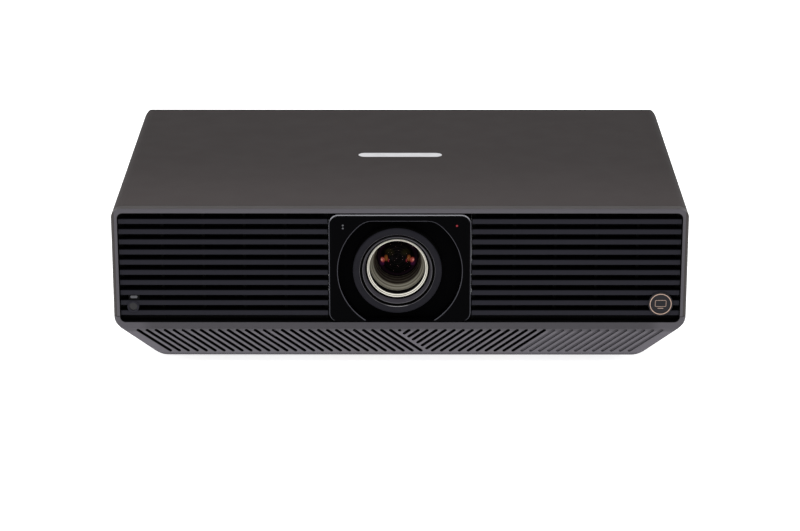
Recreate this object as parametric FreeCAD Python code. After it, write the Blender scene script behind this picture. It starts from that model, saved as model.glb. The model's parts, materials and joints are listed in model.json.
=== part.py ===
"""Home projector: casing, louvres, slotted front, shifting zoom lens, light engine, fans and boards.

Millimetres. X runs to the right seen from the front, Y to the rear, Z up. The origin is the centre
of the plan at the height of the soles of the feet.
"""
import FreeCAD, Part
import math
import os

from FreeCAD import Vector

# Casing
WIDTH = 430.0
DEPTH = 290.0
BODY_HEIGHT = 120.0
FOOT_HEIGHT = 7.0
WALL = 2.5
PAST = 1.0                    # how far a cut runs past the face it opens
LAP = 1.0                     # how far joined solids run into each other
EDGE_RADIUS = 8.6             # long side edges and rear edge of the top
FRONT_EDGE_RADIUS = 1.2
CORNER_RADIUS = 6.0           # upright corners at the front
REAR_CORNER_RADIUS = 14.0
SLOPE_DROP = 26.2             # height of the slanted front and rear panels
FRONT_SLOPE = math.radians(25.0)
SIDE_SLOPE = math.radians(48.3)
SIDE_DROP = 31.6              # height of the slanted sides
HIP_RADIUS = 9.0
BASE_RADIUS = 4.0             # lower edge of the front and rear
SIDE_BASE_RADIUS = 20.0       # lower edge of the sides

# Front frame
TOP_BAND = 3.3                # height of the frame above the louvre opening
BOTTOM_BAND = 4.7             # and below it
SIDE_BAND = 5.0               # width of the frame beside it
FRAME_DEPTH = 9.0
OPENING_RADIUS = 4.2
SEAM_RISE = 9.4               # seam above the lower edge of the frame
SEAM_GAP = 0.5
SEAM_INSET = 0.6

# Louvres
SLAT_HEIGHT = 3.9
SLAT_PITCH = 7.97
SLAT_BEVEL = 0.6
SLAT_TOP_GAP = 5.1            # opening's upper edge to the first slat
SLAT_SETBACK = 1.8            # slat fronts behind the frame
LOUVRE_GAP = 0.8              # slat ends to the frame and to the lens panel
RIB_WIDTH = 2.0
RIB_SPACING = 38.0
FLANGE_THICKNESS = 2.0
FLANGE_LAP = 1.3              # flange of a front piece behind the frame
SCREEN_THICKNESS = 0.8

# Slots of the slanted front
SLOT_PITCH = 6.78
SLOT_WIDTH = 2.6
SLOT_TOP = 2.0                # distances down the slope
SLOT_BOTTOM = 23.5
SLOT_LEAN = 1.07              # sideways run for each unit down the slope
SLOT_MARGIN = 17.5            # outermost slot to the side of the casing
CHEVRON_X = -0.2              # where the two slot families meet
CHEVRON_GAP = 7.1             # top of the left family to the top of the right one
BLIND_SLOTS = 13
BLIND_DEPTH = 0.9

# Lens panel and lens
PANEL_BORDER = 6.6            # panel beside the aperture
PANEL_RADIUS = 7.5
PANEL_THICKNESS = 3.0
PANEL_SETBACK = 0.5
PANEL_TOP_GAP = 1.4
PANEL_CHAMFER = 0.7
APERTURE_CHAMFER = 0.5
APERTURE_EASE = 14.0          # radius where the top flat meets the round
APERTURE_SIDE = 13.15         # room beside and above the hood
APERTURE_ROOM = 5.75
SKIRT = 1.2
DOT_X = 42.4                  # status light and sensor windows beside the middle
LED_RADIUS = 0.75
LED_DROP = 13.2
WINDOW_RADIUS = 0.7
WINDOW_DROPS = (12.9, 15.2)
DOT_LENGTH = 4.0
DOT_GAP = 0.05
LENS_FOOT = 1.2               # opening's lower edge to the aperture
LENS_OFFSET = -1.9            # lens axis beside the middle, as parked
SHIFT_X = 2.5                 # sideways travel each way from the middle
SHIFT_Z = 3.0                 # travel up and down
MASK_SETBACK = 12.0
MASK_THICKNESS = 1.5
RUNNING = 0.05                # radial clearance of a shaft in its bore
CLEARANCE = 0.3               # between pieces that pass each other
HOOD_RADIUS = 33.25
HOOD_WALL = 4.6               # wall at the mouth of the hood's funnel
HOOD_NARROWING = 1.85         # mouth to throat of the funnel
HOOD_LENGTH = 24.0
HOOD_SETBACK = 1.5
HOOD_STEP = 1.6
HOOD_FUNNEL = 7.0
HOOD_CHAMFER = 0.8
CELL_ROOM = 4.75              # mouth of the funnel to the focusing cell
CELL_WALL = 5.4
CELL_SETBACK = 9.7            # front of the focusing cell behind the front of the casing
CELL_LENGTH = 28.5
FUNNEL_STEPS = 5
RETAINER_INSET = 0.95
RETAINER_WIDTH = 2.4
RETAINER_DEPTH = 1.8
GLASS_DEPTH = 20.5            # middle of the front glass behind the front of its cell
GLASS_EDGE = 4.4              # half the thickness of the front glass at its rim
GLASS_SEAT = 5.3              # half the length of its seat in the cell
GLASS_LIP = 1.2
GLASS_BULGE = 42.0            # radius of both faces of the front glass
BARREL_RADIUS = 30.0
BARREL_WALL = 3.0
BARREL_FLANGE = 7.0
MODULE = 1.0
RING_SPACE = 10.0             # barrel to the pitch circle of the toothed rings
PINION_TEETH = 16
RING_WIDTH = 6.0
BACKLASH = 0.3
PINION_ANGLE = math.radians(-25.0)
MOTOR_RADIUS = 6.5
ROD_RADIUS = 3.0
SCREW_RADIUS = 2.0

# Places along the lens axis, behind the front of the casing
FOCUS_RING_AT = 28.0
ZOOM_RING_AT = 50.0
SLIDE_PLATE_AT = 75.0
SLIDE_PLATE = 5.0
ROD_BEHIND_PLATE = 4.5
LIFT_PLATE_AT = 92.0
LIFT_ROD_AT = 102.0
ENGINE_AT = 110.0

# Light engine
ENGINE_LEFT = -70.0
ENGINE_RIGHT = 75.0
ENGINE_LENGTH = 110.0
ENGINE_RISE = 12.5            # under side above the floor of the case
ENGINE_HEIGHT = 101.0
ENGINE_WALL = 3.0
LASER_DEPTH = 22.0
SINK_WIDTH = 63.0
SINK_LENGTH = 100.0
FIN = 2.0
FIN_PITCH = 6.0
WHEEL_RADIUS = 26.0
CHIP_SIZE = 44.0

# Fans
FAN_SIZE = 80.0
FAN_DEPTH = 25.0
FAN_BORE = 38.5
FAN_AT = 16.0
FAN_X = 132.0
BLADES = 7

# Boards, speakers and sockets
BOARD = 1.6
MAIN_BOARD_RISE = 42.5
MAIN_BOARD_WIDTH = 200.0
MAIN_BOARD_DEPTH = 58.0
MAIN_BOARD_X = -40.0
POWER_BOARD_RISE = 24.5
POWER_BOARD_WIDTH = 112.0
POWER_BOARD_DEPTH = 130.0
POWER_BOARD_X = -134.0
SPEAKER = (38.0, 45.0, 52.0)
SPEAKER_X = 181.0
SPEAKER_Y = 107.0
SPEAKER_RISE = 36.0
REAR_MARGIN = 24.0            # casing side to the window in the rear wall
REAR_TOP = 12.0
REAR_LAP = 4.0
INLET_X = 118.0
INLET_RISE = 72.0
HDMI_X = (-22.0, -46.0)
USB_X = (-72.0, -94.0)
LAN_X = -120.0
BUTTON_X = 74.0
BUTTON_RISE = 78.0
BUTTON_RADIUS = 5.0

# Feet, inserts and screws
FOOT_X = 140.0
FOOT_Y = 96.0
FOOT_RADIUS = 11.0
STEM_RADIUS = 4.0
STEM_TOP = 34.0
STEM_BOTTOM = 2.5
KNOB_NOTCHES = 16
INSERT_X = 110.0
INSERT_Y = 70.0
INSERT_RADIUS = 3.2
INSERT_BORE = 1.65
INSERT_LENGTH = 10.0
SCREW_PLACES = ((-168.0, -92.0), (168.0, -92.0), (-152.0, 120.0), (152.0, 120.0))
SHANK_RADIUS = 1.5
SHANK_LENGTH = 18.7
HEAD_RADIUS = 2.75
HEAD_HEIGHT = 1.8
HEAD_SINK = 0.4
HEAD_RECESS = 2.2
POST_RADIUS = 4.5
STANDOFF_RADIUS = 3.5

# Marks on the outside
BADGE_X = 195.3
BADGE_DROP = 74.6
BADGE_RADIUS = 9.2
BADGE_THICKNESS = 1.2
BADGE_RING_INSET = 1.0
RECEIVER_X = -200.0
RECEIVER_DROP = 77.1
RECEIVER_RADIUS = 3.0
RECEIVER_WALL = 1.4
SENSOR_X = -199.3
SENSOR_DROP = 69.4
SENSOR_HALF = 2.6
SENSOR_HALF_HEIGHT = 0.95
INLAY_LENGTH = 66.0
INLAY_WIDTH = 11.0
INLAY_DEPTH = 0.5

# Derived places
FRONT = -DEPTH / 2
REAR = DEPTH / 2
SIDE = WIDTH / 2
BASE = FOOT_HEIGHT
FLOOR = BASE + WALL
TOP = FOOT_HEIGHT + BODY_HEIGHT
ROOF = TOP - WALL
RIDGE = BASE + SLOPE_DROP
OPEN_BOTTOM = RIDGE + BOTTOM_BAND
OPEN_TOP = TOP - TOP_BAND
OPEN_SIDE = SIDE - SIDE_BAND
FLANGE_BOTTOM = OPEN_BOTTOM - FLANGE_LAP
FLANGE_TOP = min(OPEN_TOP + FLANGE_LAP, ROOF - CLEARANCE)
SEAM = RIDGE + SEAM_RISE
FLANGE_Y = FRONT + FRAME_DEPTH
APERTURE_RADIUS = HOOD_RADIUS + APERTURE_SIDE
APERTURE_FLAT = HOOD_RADIUS + APERTURE_ROOM
PANEL_HALF = APERTURE_RADIUS + PANEL_BORDER
HOOD_MOUTH = HOOD_RADIUS - HOOD_WALL
HOOD_THROAT = HOOD_MOUTH - HOOD_NARROWING
CELL_RADIUS = HOOD_MOUTH - CELL_ROOM
RETAINER_RADIUS = CELL_RADIUS - RETAINER_INSET
GLASS_RADIUS = CELL_RADIUS - CELL_WALL
BARREL_BORE = BARREL_RADIUS - BARREL_WALL
RING_TEETH = round(2 * (BARREL_RADIUS + RING_SPACE) / MODULE)
LENS_X = LENS_OFFSET
LENS_Z = OPEN_BOTTOM + LENS_FOOT + APERTURE_FLAT
PANEL_TOP = OPEN_TOP - PANEL_TOP_GAP
REAR_FACE = REAR - WALL       # inner face of the rear wall
REAR_PANEL = 2.5
SOCKET_Y = REAR_FACE - REAR_PANEL
MAIN_BOARD_Z = FLOOR + MAIN_BOARD_RISE
POWER_BOARD_Z = FLOOR + POWER_BOARD_RISE

RIGHT = Vector(1, 0, 0)
BACK = Vector(0, 1, 0)
UP = Vector(0, 0, 1)


def box(x0, x1, y0, y1, z0, z1):
    return Part.makeBox(x1 - x0, y1 - y0, z1 - z0, Vector(x0, y0, z0))


def rod(radius, x, y, z, length, direction):
    return Part.makeCylinder(radius, length, Vector(x, y, z), direction)


def tube(radius, bore, x, y, z, length, direction):
    return rod(radius, x, y, z, length, direction).cut(rod(bore, x, y, z, length, direction))


def fused(shapes):
    return shapes[0].multiFuse(shapes[1:]).removeSplitter()


def mirrored(corners):
    """Corners of one half, top to bottom, followed by their mirror image."""
    return corners + [(-u, v, r) for u, v, r in reversed(corners)]


def outline(corners, place):
    """Closed wire through (u, v, radius) corners, set in space by place(u, v)."""
    turns = []
    for index, (u, v, radius) in enumerate(corners):
        corner = Vector(u, v, 0)
        before = Vector(*corners[index - 1][:2], 0) - corner
        after = Vector(*corners[(index + 1) % len(corners)][:2], 0) - corner
        half = before.getAngle(after) / 2
        before.normalize()
        after.normalize()
        reach = radius / math.tan(half)
        middle = (before + after).normalize() * (radius / math.sin(half) - radius)
        turns.append([corner + before * reach, corner + middle, corner + after * reach])
    points = [[place(p.x, p.y) for p in turn] for turn in turns]
    edges = []
    for index, (start, middle, end) in enumerate(points):
        following = points[(index + 1) % len(points)][0]
        if start.distanceToPoint(end) > 1e-6:
            edges.append(Part.Arc(start, middle, end).toShape())
        if end.distanceToPoint(following) > 1e-6:
            edges.append(Part.LineSegment(end, following).toShape())
    return Part.Wire(edges)


def prism_x(corners, x0, x1):
    """Outline in Y and Z, drawn from x0 to x1."""
    return Part.Face(outline(corners, lambda u, v: Vector(x0, u, v))).extrude(RIGHT * (x1 - x0))


def prism_y(corners, y0, y1):
    """Outline in X and Z, drawn from y0 to y1."""
    return Part.Face(outline(corners, lambda u, v: Vector(u, y0, v))).extrude(BACK * (y1 - y0))


def prism_z(corners, z0, z1):
    """Outline in X and Y, drawn from z0 to z1."""
    return Part.Face(outline(corners, lambda u, v: Vector(u, v, z0))).extrude(UP * (z1 - z0))


def turned(profile, x, z):
    """Solid of revolution about the Y direction through (x, z); the profile is (radius, y)."""
    points = [Vector(x + radius, y, z) for radius, y in profile]
    face = Part.Face(Part.makePolygon(points + points[:1]))
    return face.revolve(Vector(x, 0, z), BACK, 360)


# ---------------------------------------------------------------- casing

def falling_side(reach, drop, slope, inset, top_radius, base_radius):
    """Corners of one side of the casing seen end on: top, hip and base, moved in by inset."""
    hip = BASE + drop + inset * math.tan(slope / 2)
    foot = reach - (drop - inset) * math.tan(slope) - inset / math.cos(slope)
    return [
        (reach - inset, TOP - inset, max(top_radius - inset, 0)),
        (reach - inset, hip, max(HIP_RADIUS - inset, 0)),
        (foot, BASE + inset, max(base_radius - inset, 0)),
    ]


def casing_block(inset):
    """The casing's outer form moved in by inset, as one solid."""
    side = falling_side(SIDE, SIDE_DROP, SIDE_SLOPE, inset, EDGE_RADIUS, SIDE_BASE_RADIUS)
    rear = falling_side(REAR, SLOPE_DROP, FRONT_SLOPE, inset, EDGE_RADIUS, BASE_RADIUS)
    front = [(-u, v, r) for u, v, r in rear]
    front[0] = (front[0][0], front[0][1], max(FRONT_EDGE_RADIUS - inset, 0))
    front[1] = (front[1][0], front[1][1], 0)
    seen_from_side = rear + list(reversed(front))
    half_x = SIDE - inset
    half_y = REAR - inset
    front_radius = CORNER_RADIUS - inset
    rear_radius = REAR_CORNER_RADIUS - inset
    plan = [(half_x, half_y, rear_radius), (half_x, -half_y, front_radius)]
    plan += [(-half_x, -half_y, front_radius), (-half_x, half_y, rear_radius)]
    block = prism_y(mirrored(side), FRONT, REAR)
    block = block.common(prism_x(seen_from_side, -SIDE, SIDE))
    return block.common(prism_z(plan, BASE, TOP))


def slab(y0, y1, z0, z1):
    """A block wider than the casing, to cut it by depth and height."""
    return box(-SIDE - PAST, SIDE + PAST, y0, y1, z0, z1)


def frame_opening(y0, y1):
    """The opening for louvres and lens panel, drawn through the front frame."""
    half = [(OPEN_SIDE, OPEN_TOP, OPENING_RADIUS), (OPEN_SIDE, OPEN_BOTTOM, OPENING_RADIUS)]
    return prism_y(mirrored(half), y0, y1)


def speaker_holes(side):
    """A field of small holes through the side wall in front of a speaker."""
    holes = []
    for row in range(6):
        for column in range(7):
            y = SPEAKER_Y + (column - 3) * 5
            z = FLOOR + SPEAKER_RISE + SPEAKER[2] / 2 + (row - 2.5) * 5
            holes.append(rod(1.1, side * (SIDE - 2 * WALL), y, z, 3 * WALL, RIGHT * side))
    return Part.makeCompound(holes)


def top_cover(outer, inner):
    """Roof, side walls and rear wall, with the window for the rear panel and four screw posts."""
    start = FLANGE_Y
    shell = outer.cut(inner).common(slab(start, REAR, SEAM, TOP))
    half = [(SIDE - REAR_MARGIN, TOP - REAR_TOP, 3), (SIDE - REAR_MARGIN, SEAM - 10, 0)]
    shell = shell.cut(prism_y(mirrored(half), REAR_FACE - PAST, REAR + PAST))
    shell = shell.cut(speaker_holes(1)).cut(speaker_holes(-1))
    shell = shell.cut(inlay(0.1))
    posts = []
    for x, y in SCREW_PLACES:
        bottom = FLOOR + POST_RADIUS
        post = rod(POST_RADIUS, x, y, bottom, ROOF + 0.5 - bottom, UP)
        posts.append(post.cut(rod(SHANK_RADIUS + RUNNING, x, y, bottom, 14, UP)))
    return fused([shell] + posts)


def front_bezel(outer):
    """Inverted U around the top and sides of the opening."""
    ring = outer.common(slab(FRONT, FLANGE_Y - SEAM_GAP, SEAM, TOP))
    neck = casing_block(SEAM_INSET).common(slab(FLANGE_Y - 2, FLANGE_Y, SEAM, TOP))
    return fused([ring, neck]).cut(frame_opening(FRONT - PAST, FLANGE_Y + PAST))


def slot(x_top, s_top, x_bottom, s_bottom, depth):
    """A round-ended slot in the slanted front, s measured down the slope, cut depth deep."""
    down = Vector(0, math.sin(FRONT_SLOPE), -math.cos(FRONT_SLOPE))
    inward = Vector(0, math.cos(FRONT_SLOPE), math.sin(FRONT_SLOPE))
    along = Vector(x_bottom - x_top, s_bottom - s_top, 0)
    along.normalize()
    across = Vector(-along.y, along.x, 0) * (SLOT_WIDTH / 2)
    first = Vector(x_top, s_top, 0)
    last = Vector(x_bottom, s_bottom, 0)

    def on_panel(p):
        return Vector(p.x, FRONT, RIDGE) + down * p.y - inward * 1.0

    a, b = on_panel(first + across), on_panel(last + across)
    c, d = on_panel(last - across), on_panel(first - across)
    end_mid = on_panel(last + along * (SLOT_WIDTH / 2))
    start_mid = on_panel(first - along * (SLOT_WIDTH / 2))
    edges = [Part.LineSegment(a, b).toShape(), Part.Arc(b, end_mid, c).toShape()]
    edges += [Part.LineSegment(c, d).toShape(), Part.Arc(d, start_mid, a).toShape()]
    return Part.Face(Part.Wire(edges)).extrude(inward * (depth + 1.0))


def front_slots():
    """Two families of slanting slots that meet right of the middle; the outermost are blind."""
    run = SLOT_LEAN * (SLOT_BOTTOM - SLOT_TOP)
    count = int((SIDE - SLOT_MARGIN + CHEVRON_X) / SLOT_PITCH)
    through = 2 * WALL
    slots = []
    for index in range(1, count + 1):
        x = CHEVRON_X - index * SLOT_PITCH
        slots.append(slot(x, SLOT_TOP, x + run, SLOT_BOTTOM, through))
    slots.append(slot(CHEVRON_X, SLOT_TOP, CHEVRON_X + 0.1, SLOT_TOP + 0.1, through))
    for index in range(count):
        x = CHEVRON_X + CHEVRON_GAP + index * SLOT_PITCH
        meeting = SLOT_TOP + (x - CHEVRON_X) / (2 * SLOT_LEAN)
        bottom = min(SLOT_BOTTOM, meeting)
        depth = BLIND_DEPTH if index >= count - BLIND_SLOTS else through
        slots.append(slot(x, SLOT_TOP, x - SLOT_LEAN * (bottom - SLOT_TOP), bottom, depth))
    return Part.makeCompound(slots)


def fan_cradle(x):
    """Two posts that carry a fan above the floor."""
    bottom = LENS_Z - FAN_SIZE / 2
    y = FRONT + FAN_AT
    posts = []
    for shift in (-1, 1):
        middle = x + shift * (FAN_SIZE / 2 - 8)
        posts.append(box(middle - 6, middle + 6, y + 4, y + FAN_DEPTH - 1, FLOOR - LAP, bottom))
    return posts


def standoffs(x0, x1, y0, y1, height):
    """Four posts under a board or a housing, set in from its corners."""
    posts = []
    for x in (x0, x1):
        for y in (y0, y1):
            posts.append(rod(STANDOFF_RADIUS, x, y, FLOOR - LAP, height + LAP, UP))
    return posts


def board_standoffs():
    main_x = MAIN_BOARD_WIDTH / 2 - 6
    main_y = SOCKET_Y - 3 - MAIN_BOARD_DEPTH
    power_x = POWER_BOARD_WIDTH / 2 - 6
    power_y = POWER_BOARD_DEPTH / 2 - 6
    posts = standoffs(MAIN_BOARD_X - main_x, MAIN_BOARD_X + main_x, main_y + 6,
                      main_y + MAIN_BOARD_DEPTH - 6, MAIN_BOARD_RISE)
    return posts + standoffs(POWER_BOARD_X - power_x + 14, POWER_BOARD_X + power_x, -power_y,
                             power_y, POWER_BOARD_RISE)


def engine_standoffs():
    front = FRONT + ENGINE_AT
    posts = standoffs(ENGINE_LEFT + 12, ENGINE_RIGHT - 12, front + 12, front + ENGINE_LENGTH - 12,
                      ENGINE_RISE)
    sink_x = ENGINE_RIGHT + LASER_DEPTH
    return posts + standoffs(sink_x + 8, sink_x + SINK_WIDTH - 14, front + 12,
                             front + SINK_LENGTH - 8, ENGINE_RISE)


def speaker_posts():
    posts = []
    for side in (-1, 1):
        x = side * (SPEAKER_X - 9)
        for y in (SPEAKER_Y - 15, SPEAKER_Y + 15):
            posts.append(rod(STANDOFF_RADIUS, x, y, FLOOR - LAP, SPEAKER_RISE + LAP, UP))
    return posts


def lower_case(outer, inner):
    """Hull-shaped tub with the slotted front, the lower part of the frame and the inner posts."""
    tub = outer.cut(inner).common(slab(FRONT, REAR, BASE, SEAM - SEAM_GAP))
    rim = casing_block(SEAM_INSET).cut(inner).common(slab(FRONT, REAR, SEAM - 2, SEAM))
    band = outer.common(slab(FRONT, FLANGE_Y, RIDGE, SEAM - SEAM_GAP))
    band_rim = casing_block(SEAM_INSET).common(slab(FRONT, FLANGE_Y, SEAM - 2, SEAM))
    posts = fan_cradle(FAN_X) + fan_cradle(-FAN_X)
    posts += board_standoffs() + engine_standoffs() + speaker_posts()
    bores = []
    for side in (-1, 1):
        posts.append(rod(8, side * FOOT_X, -FOOT_Y, FLOOR - LAP, 20, UP))
        bores.append(rod(STEM_RADIUS + RUNNING, side * FOOT_X, -FOOT_Y, BASE - PAST, 40, UP))
        for y in (-INSERT_Y, INSERT_Y):
            posts.append(rod(6, side * INSERT_X, y, FLOOR - LAP, INSERT_LENGTH, UP))
            bores.append(rod(INSERT_RADIUS, side * INSERT_X, y, BASE - PAST, INSERT_LENGTH + 1, UP))
    for x, y in SCREW_PLACES:
        posts.append(rod(POST_RADIUS, x, y, FLOOR - LAP, POST_RADIUS + 1 - 0.2, UP))
        bores.append(rod(SHANK_RADIUS + RUNNING, x, y, BASE - PAST, 30, UP))
        bores.append(rod(HEAD_RADIUS + 0.2, x, y, BASE - PAST, HEAD_RECESS + PAST, UP))
    tub = fused([tub, rim, band, band_rim] + posts)
    tub = tub.cut(frame_opening(FRONT - PAST, FLANGE_Y + PAST))
    return tub.cut(Part.makeCompound(bores)).cut(front_slots())


def inlay(grow):
    """A plain round-ended bar let into the roof."""
    length = INLAY_LENGTH / 2 + grow
    width = INLAY_WIDTH / 2 + grow
    radius = width - 0.01
    corners = [(length, width, radius), (length, -width, radius)]
    corners += [(-length, -width, radius), (-length, width, radius)]
    return prism_z(corners, TOP - INLAY_DEPTH, TOP + (1 if grow else 0))


# ---------------------------------------------------------------- front pieces

def slat_heights():
    count = int((OPEN_TOP - OPEN_BOTTOM) / SLAT_PITCH)
    first = OPEN_TOP - SLAT_TOP_GAP - SLAT_HEIGHT / 2
    return [first - index * SLAT_PITCH for index in range(count)]


def louvre_room():
    """What the louvre panels may fill: the frame's opening, and the flange zone behind it."""
    reach = OPEN_SIDE - CLEARANCE
    half = [(reach, OPEN_TOP - CLEARANCE, OPENING_RADIUS)]
    half.append((reach, OPEN_BOTTOM + CLEARANCE, OPENING_RADIUS))
    edge = OPEN_SIDE + FLANGE_LAP
    back = FLANGE_Y + FLANGE_THICKNESS
    flange = box(-edge, edge, FLANGE_Y, back, FLANGE_BOTTOM, FLANGE_TOP)
    flange = flange.common(casing_block(WALL + CLEARANCE))
    return fused([prism_y(mirrored(half), FRONT, FLANGE_Y + 0.5), flange])


def louvres(side):
    """Slats with bevelled edges on upright ribs, and a flange behind the frame."""
    inner = PANEL_HALF + LOUVRE_GAP
    outer = OPEN_SIDE - LOUVRE_GAP
    x0, x1 = sorted((side * inner, side * outer))
    front = FRONT + SLAT_SETBACK
    back = FLANGE_Y + FLANGE_THICKNESS
    half = SLAT_HEIGHT / 2
    pieces = []
    for z in slat_heights():
        section = [(front, z + half, SLAT_BEVEL), (front, z - half, SLAT_BEVEL)]
        section += [(back, z - half, 0), (back, z + half, 0)]
        pieces.append(prism_x(section, x0, x1))
    count = int((outer - inner) / RIB_SPACING) + 1
    low = OPEN_BOTTOM + 0.3
    high = OPEN_TOP - 0.3
    for index in range(count + 1):
        x = x0 + (x1 - x0 - RIB_WIDTH) * index / count
        pieces.append(box(x, x + RIB_WIDTH, FLANGE_Y - 1, back, low, high))
    flange_x = sorted((side * inner, side * (OPEN_SIDE + FLANGE_LAP)))
    flange = box(*flange_x, FLANGE_Y, back, FLANGE_BOTTOM, FLANGE_TOP)
    window = box(x0 + 3, x1 - 3, FLANGE_Y - 1, back + PAST, low + 2.5, high - 2.5)
    pieces.append(flange.cut(window))
    if side < 0:
        holder = rod(RECEIVER_RADIUS + RECEIVER_WALL, RECEIVER_X, FRONT + 1.2, TOP - RECEIVER_DROP,
                     8, BACK)
        tab = box(SENSOR_X - 4, SENSOR_X + 4, front + 1, front + 6, TOP - SENSOR_DROP - 3,
                  TOP - SENSOR_DROP + 3)
        bore = rod(RECEIVER_RADIUS + RUNNING, RECEIVER_X, FRONT, TOP - RECEIVER_DROP, 6, BACK)
        return fused(pieces + [holder, tab]).common(louvre_room()).cut(bore)
    return fused(pieces).common(louvre_room())


def dust_screens():
    """A thin woven screen behind each louvre panel, shown as a solid sheet."""
    y = FLANGE_Y + FLANGE_THICKNESS
    inner = PANEL_HALF + LOUVRE_GAP + 1
    outer = OPEN_SIDE - 1
    sheets = [box(*sorted((side * inner, side * outer)), y, y + SCREEN_THICKNESS, OPEN_BOTTOM + 1,
                  OPEN_TOP - 1) for side in (-1, 1)]
    return Part.makeCompound(sheets)


def aperture(grow, y0, y1):
    """A round opening flattened at top and bottom, eased where the top flat meets the round."""
    radius = APERTURE_RADIUS + grow
    flat = APERTURE_FLAT + grow
    disc = rod(radius, 0, y0, LENS_Z, y1 - y0, BACK)
    opening = disc.common(box(-radius - PAST, radius + PAST, y0, y1, LENS_Z - flat, LENS_Z + flat))
    corners = [edge for edge in opening.Edges if edge.BoundBox.ZMin > LENS_Z + flat - 0.01
               and edge.BoundBox.XLength < 0.01]
    return opening.makeFillet(APERTURE_EASE + grow, corners)


def aperture_chamfer(front):
    """Material taken off the front edge of the aperture."""
    wide = aperture(APERTURE_CHAMFER, front, front + 1)
    narrow = aperture(0, front + APERTURE_CHAMFER, front + 1)
    rims = [min(form.Faces, key=lambda face: face.CenterOfMass.y).OuterWire for form in (wide, narrow)]
    return Part.makeLoft(rims, True, True)


def lens_panel():
    """Round-cornered front plate, a skirt around the aperture and a flange behind the frame."""
    front = FRONT + PANEL_SETBACK
    behind = front + PANEL_THICKNESS
    back = FLANGE_Y + FLANGE_THICKNESS
    half = [(PANEL_HALF, PANEL_TOP, PANEL_RADIUS), (PANEL_HALF, OPEN_BOTTOM, PANEL_RADIUS)]
    plate = prism_y(mirrored(half), front + PANEL_CHAMFER, behind)
    inner = [(PANEL_HALF - PANEL_CHAMFER, PANEL_TOP - PANEL_CHAMFER, PANEL_RADIUS - PANEL_CHAMFER)]
    inner.append((PANEL_HALF - PANEL_CHAMFER, OPEN_BOTTOM + PANEL_CHAMFER, PANEL_RADIUS - PANEL_CHAMFER))
    face = Part.makeLoft([outline(mirrored(inner), lambda u, v: Vector(u, front, v)),
                          outline(mirrored(half), lambda u, v: Vector(u, front + PANEL_CHAMFER, v))],
                         True)
    skirt = aperture(SKIRT, behind - 0.5, back)
    flange = box(-PANEL_HALF, PANEL_HALF, FLANGE_Y, back, FLANGE_BOTTOM, FLANGE_TOP)
    panel = fused([plate, face, skirt, flange]).cut(aperture(0, front - PAST, back + PAST))
    panel = panel.cut(aperture_chamfer(front))
    holes = [rod(LED_RADIUS + DOT_GAP, DOT_X, front - PAST, TOP - LED_DROP, PANEL_THICKNESS + 2 * PAST, BACK)]
    for drop in WINDOW_DROPS:
        holes.append(rod(WINDOW_RADIUS + DOT_GAP, -DOT_X, front - PAST, TOP - drop,
                         PANEL_THICKNESS + 2 * PAST, BACK))
    return panel.cut(Part.makeCompound(holes))


def status_led():
    return rod(LED_RADIUS, DOT_X, FRONT + PANEL_SETBACK, TOP - LED_DROP, DOT_LENGTH, BACK)


def sensor_windows():
    """Two small round windows in the lens panel and one pill-shaped window between the slats."""
    y = FRONT + PANEL_SETBACK
    dots = [rod(WINDOW_RADIUS, -DOT_X, y, TOP - drop, DOT_LENGTH, BACK) for drop in WINDOW_DROPS]
    left = SENSOR_X - SENSOR_HALF
    right = SENSOR_X + SENSOR_HALF
    low = TOP - SENSOR_DROP - SENSOR_HALF_HEIGHT
    high = TOP - SENSOR_DROP + SENSOR_HALF_HEIGHT
    radius = SENSOR_HALF_HEIGHT - 0.05
    pill = [(right, high, radius), (right, low, radius), (left, low, radius), (left, high, radius)]
    front = FRONT + SLAT_SETBACK
    return Part.makeCompound(dots + [prism_y(pill, front - 0.4, front + 1)])


def ir_dome():
    """Receiver window with a domed front."""
    y = FRONT + 0.9
    z = TOP - RECEIVER_DROP
    bow = 1.2
    ball = (RECEIVER_RADIUS ** 2 + bow ** 2) / (2 * bow)
    body = rod(RECEIVER_RADIUS, RECEIVER_X, y + bow, z, 3.8, BACK)
    dome = Part.makeSphere(ball, Vector(RECEIVER_X, y + ball, z))
    dome = dome.common(rod(RECEIVER_RADIUS, RECEIVER_X, y, z, bow + 0.1, BACK))
    return fused([body, dome])


def badge_disc():
    y = FRONT + SLAT_SETBACK - BADGE_THICKNESS
    return rod(BADGE_RADIUS, BADGE_X, y, TOP - BADGE_DROP, BADGE_THICKNESS, BACK)


def badge_ring():
    """Thin ring on the face of the badge."""
    y = FRONT + SLAT_SETBACK - BADGE_THICKNESS
    outer = BADGE_RADIUS - BADGE_RING_INSET
    return tube(outer, outer - 0.6, BADGE_X, y - 0.3, TOP - BADGE_DROP, 0.3, BACK)


# ---------------------------------------------------------------- lens

def at(distance):
    return FRONT + distance


def lens_hood():
    """Front ring of the lens with a stepped funnel inside."""
    front = at(HOOD_SETBACK)
    back = front + HOOD_LENGTH
    bore = CELL_RADIUS + CLEARANCE
    step = front + HOOD_STEP
    profile = [(HOOD_RADIUS - HOOD_CHAMFER, front), (HOOD_RADIUS, front + HOOD_CHAMFER)]
    profile += [(HOOD_RADIUS, back), (bore, back), (bore, front + HOOD_FUNNEL)]
    profile += [(HOOD_THROAT, step), (HOOD_MOUTH - 0.25, step), (HOOD_MOUTH, front)]
    return turned(profile, LENS_X, LENS_Z)


def lens_retainer():
    """Bright ring with a rounded section at the front of the focusing cell."""
    front = at(CELL_SETBACK - RETAINER_DEPTH)
    back = at(CELL_SETBACK)
    inner = RETAINER_RADIUS - RETAINER_WIDTH
    profile = [(inner, back), (inner, front + 0.7), (inner + 0.6, front)]
    profile += [(RETAINER_RADIUS - 0.5, front), (RETAINER_RADIUS, front + 0.6)]
    profile += [(RETAINER_RADIUS, back)]
    return turned(profile, LENS_X, LENS_Z)


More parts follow.
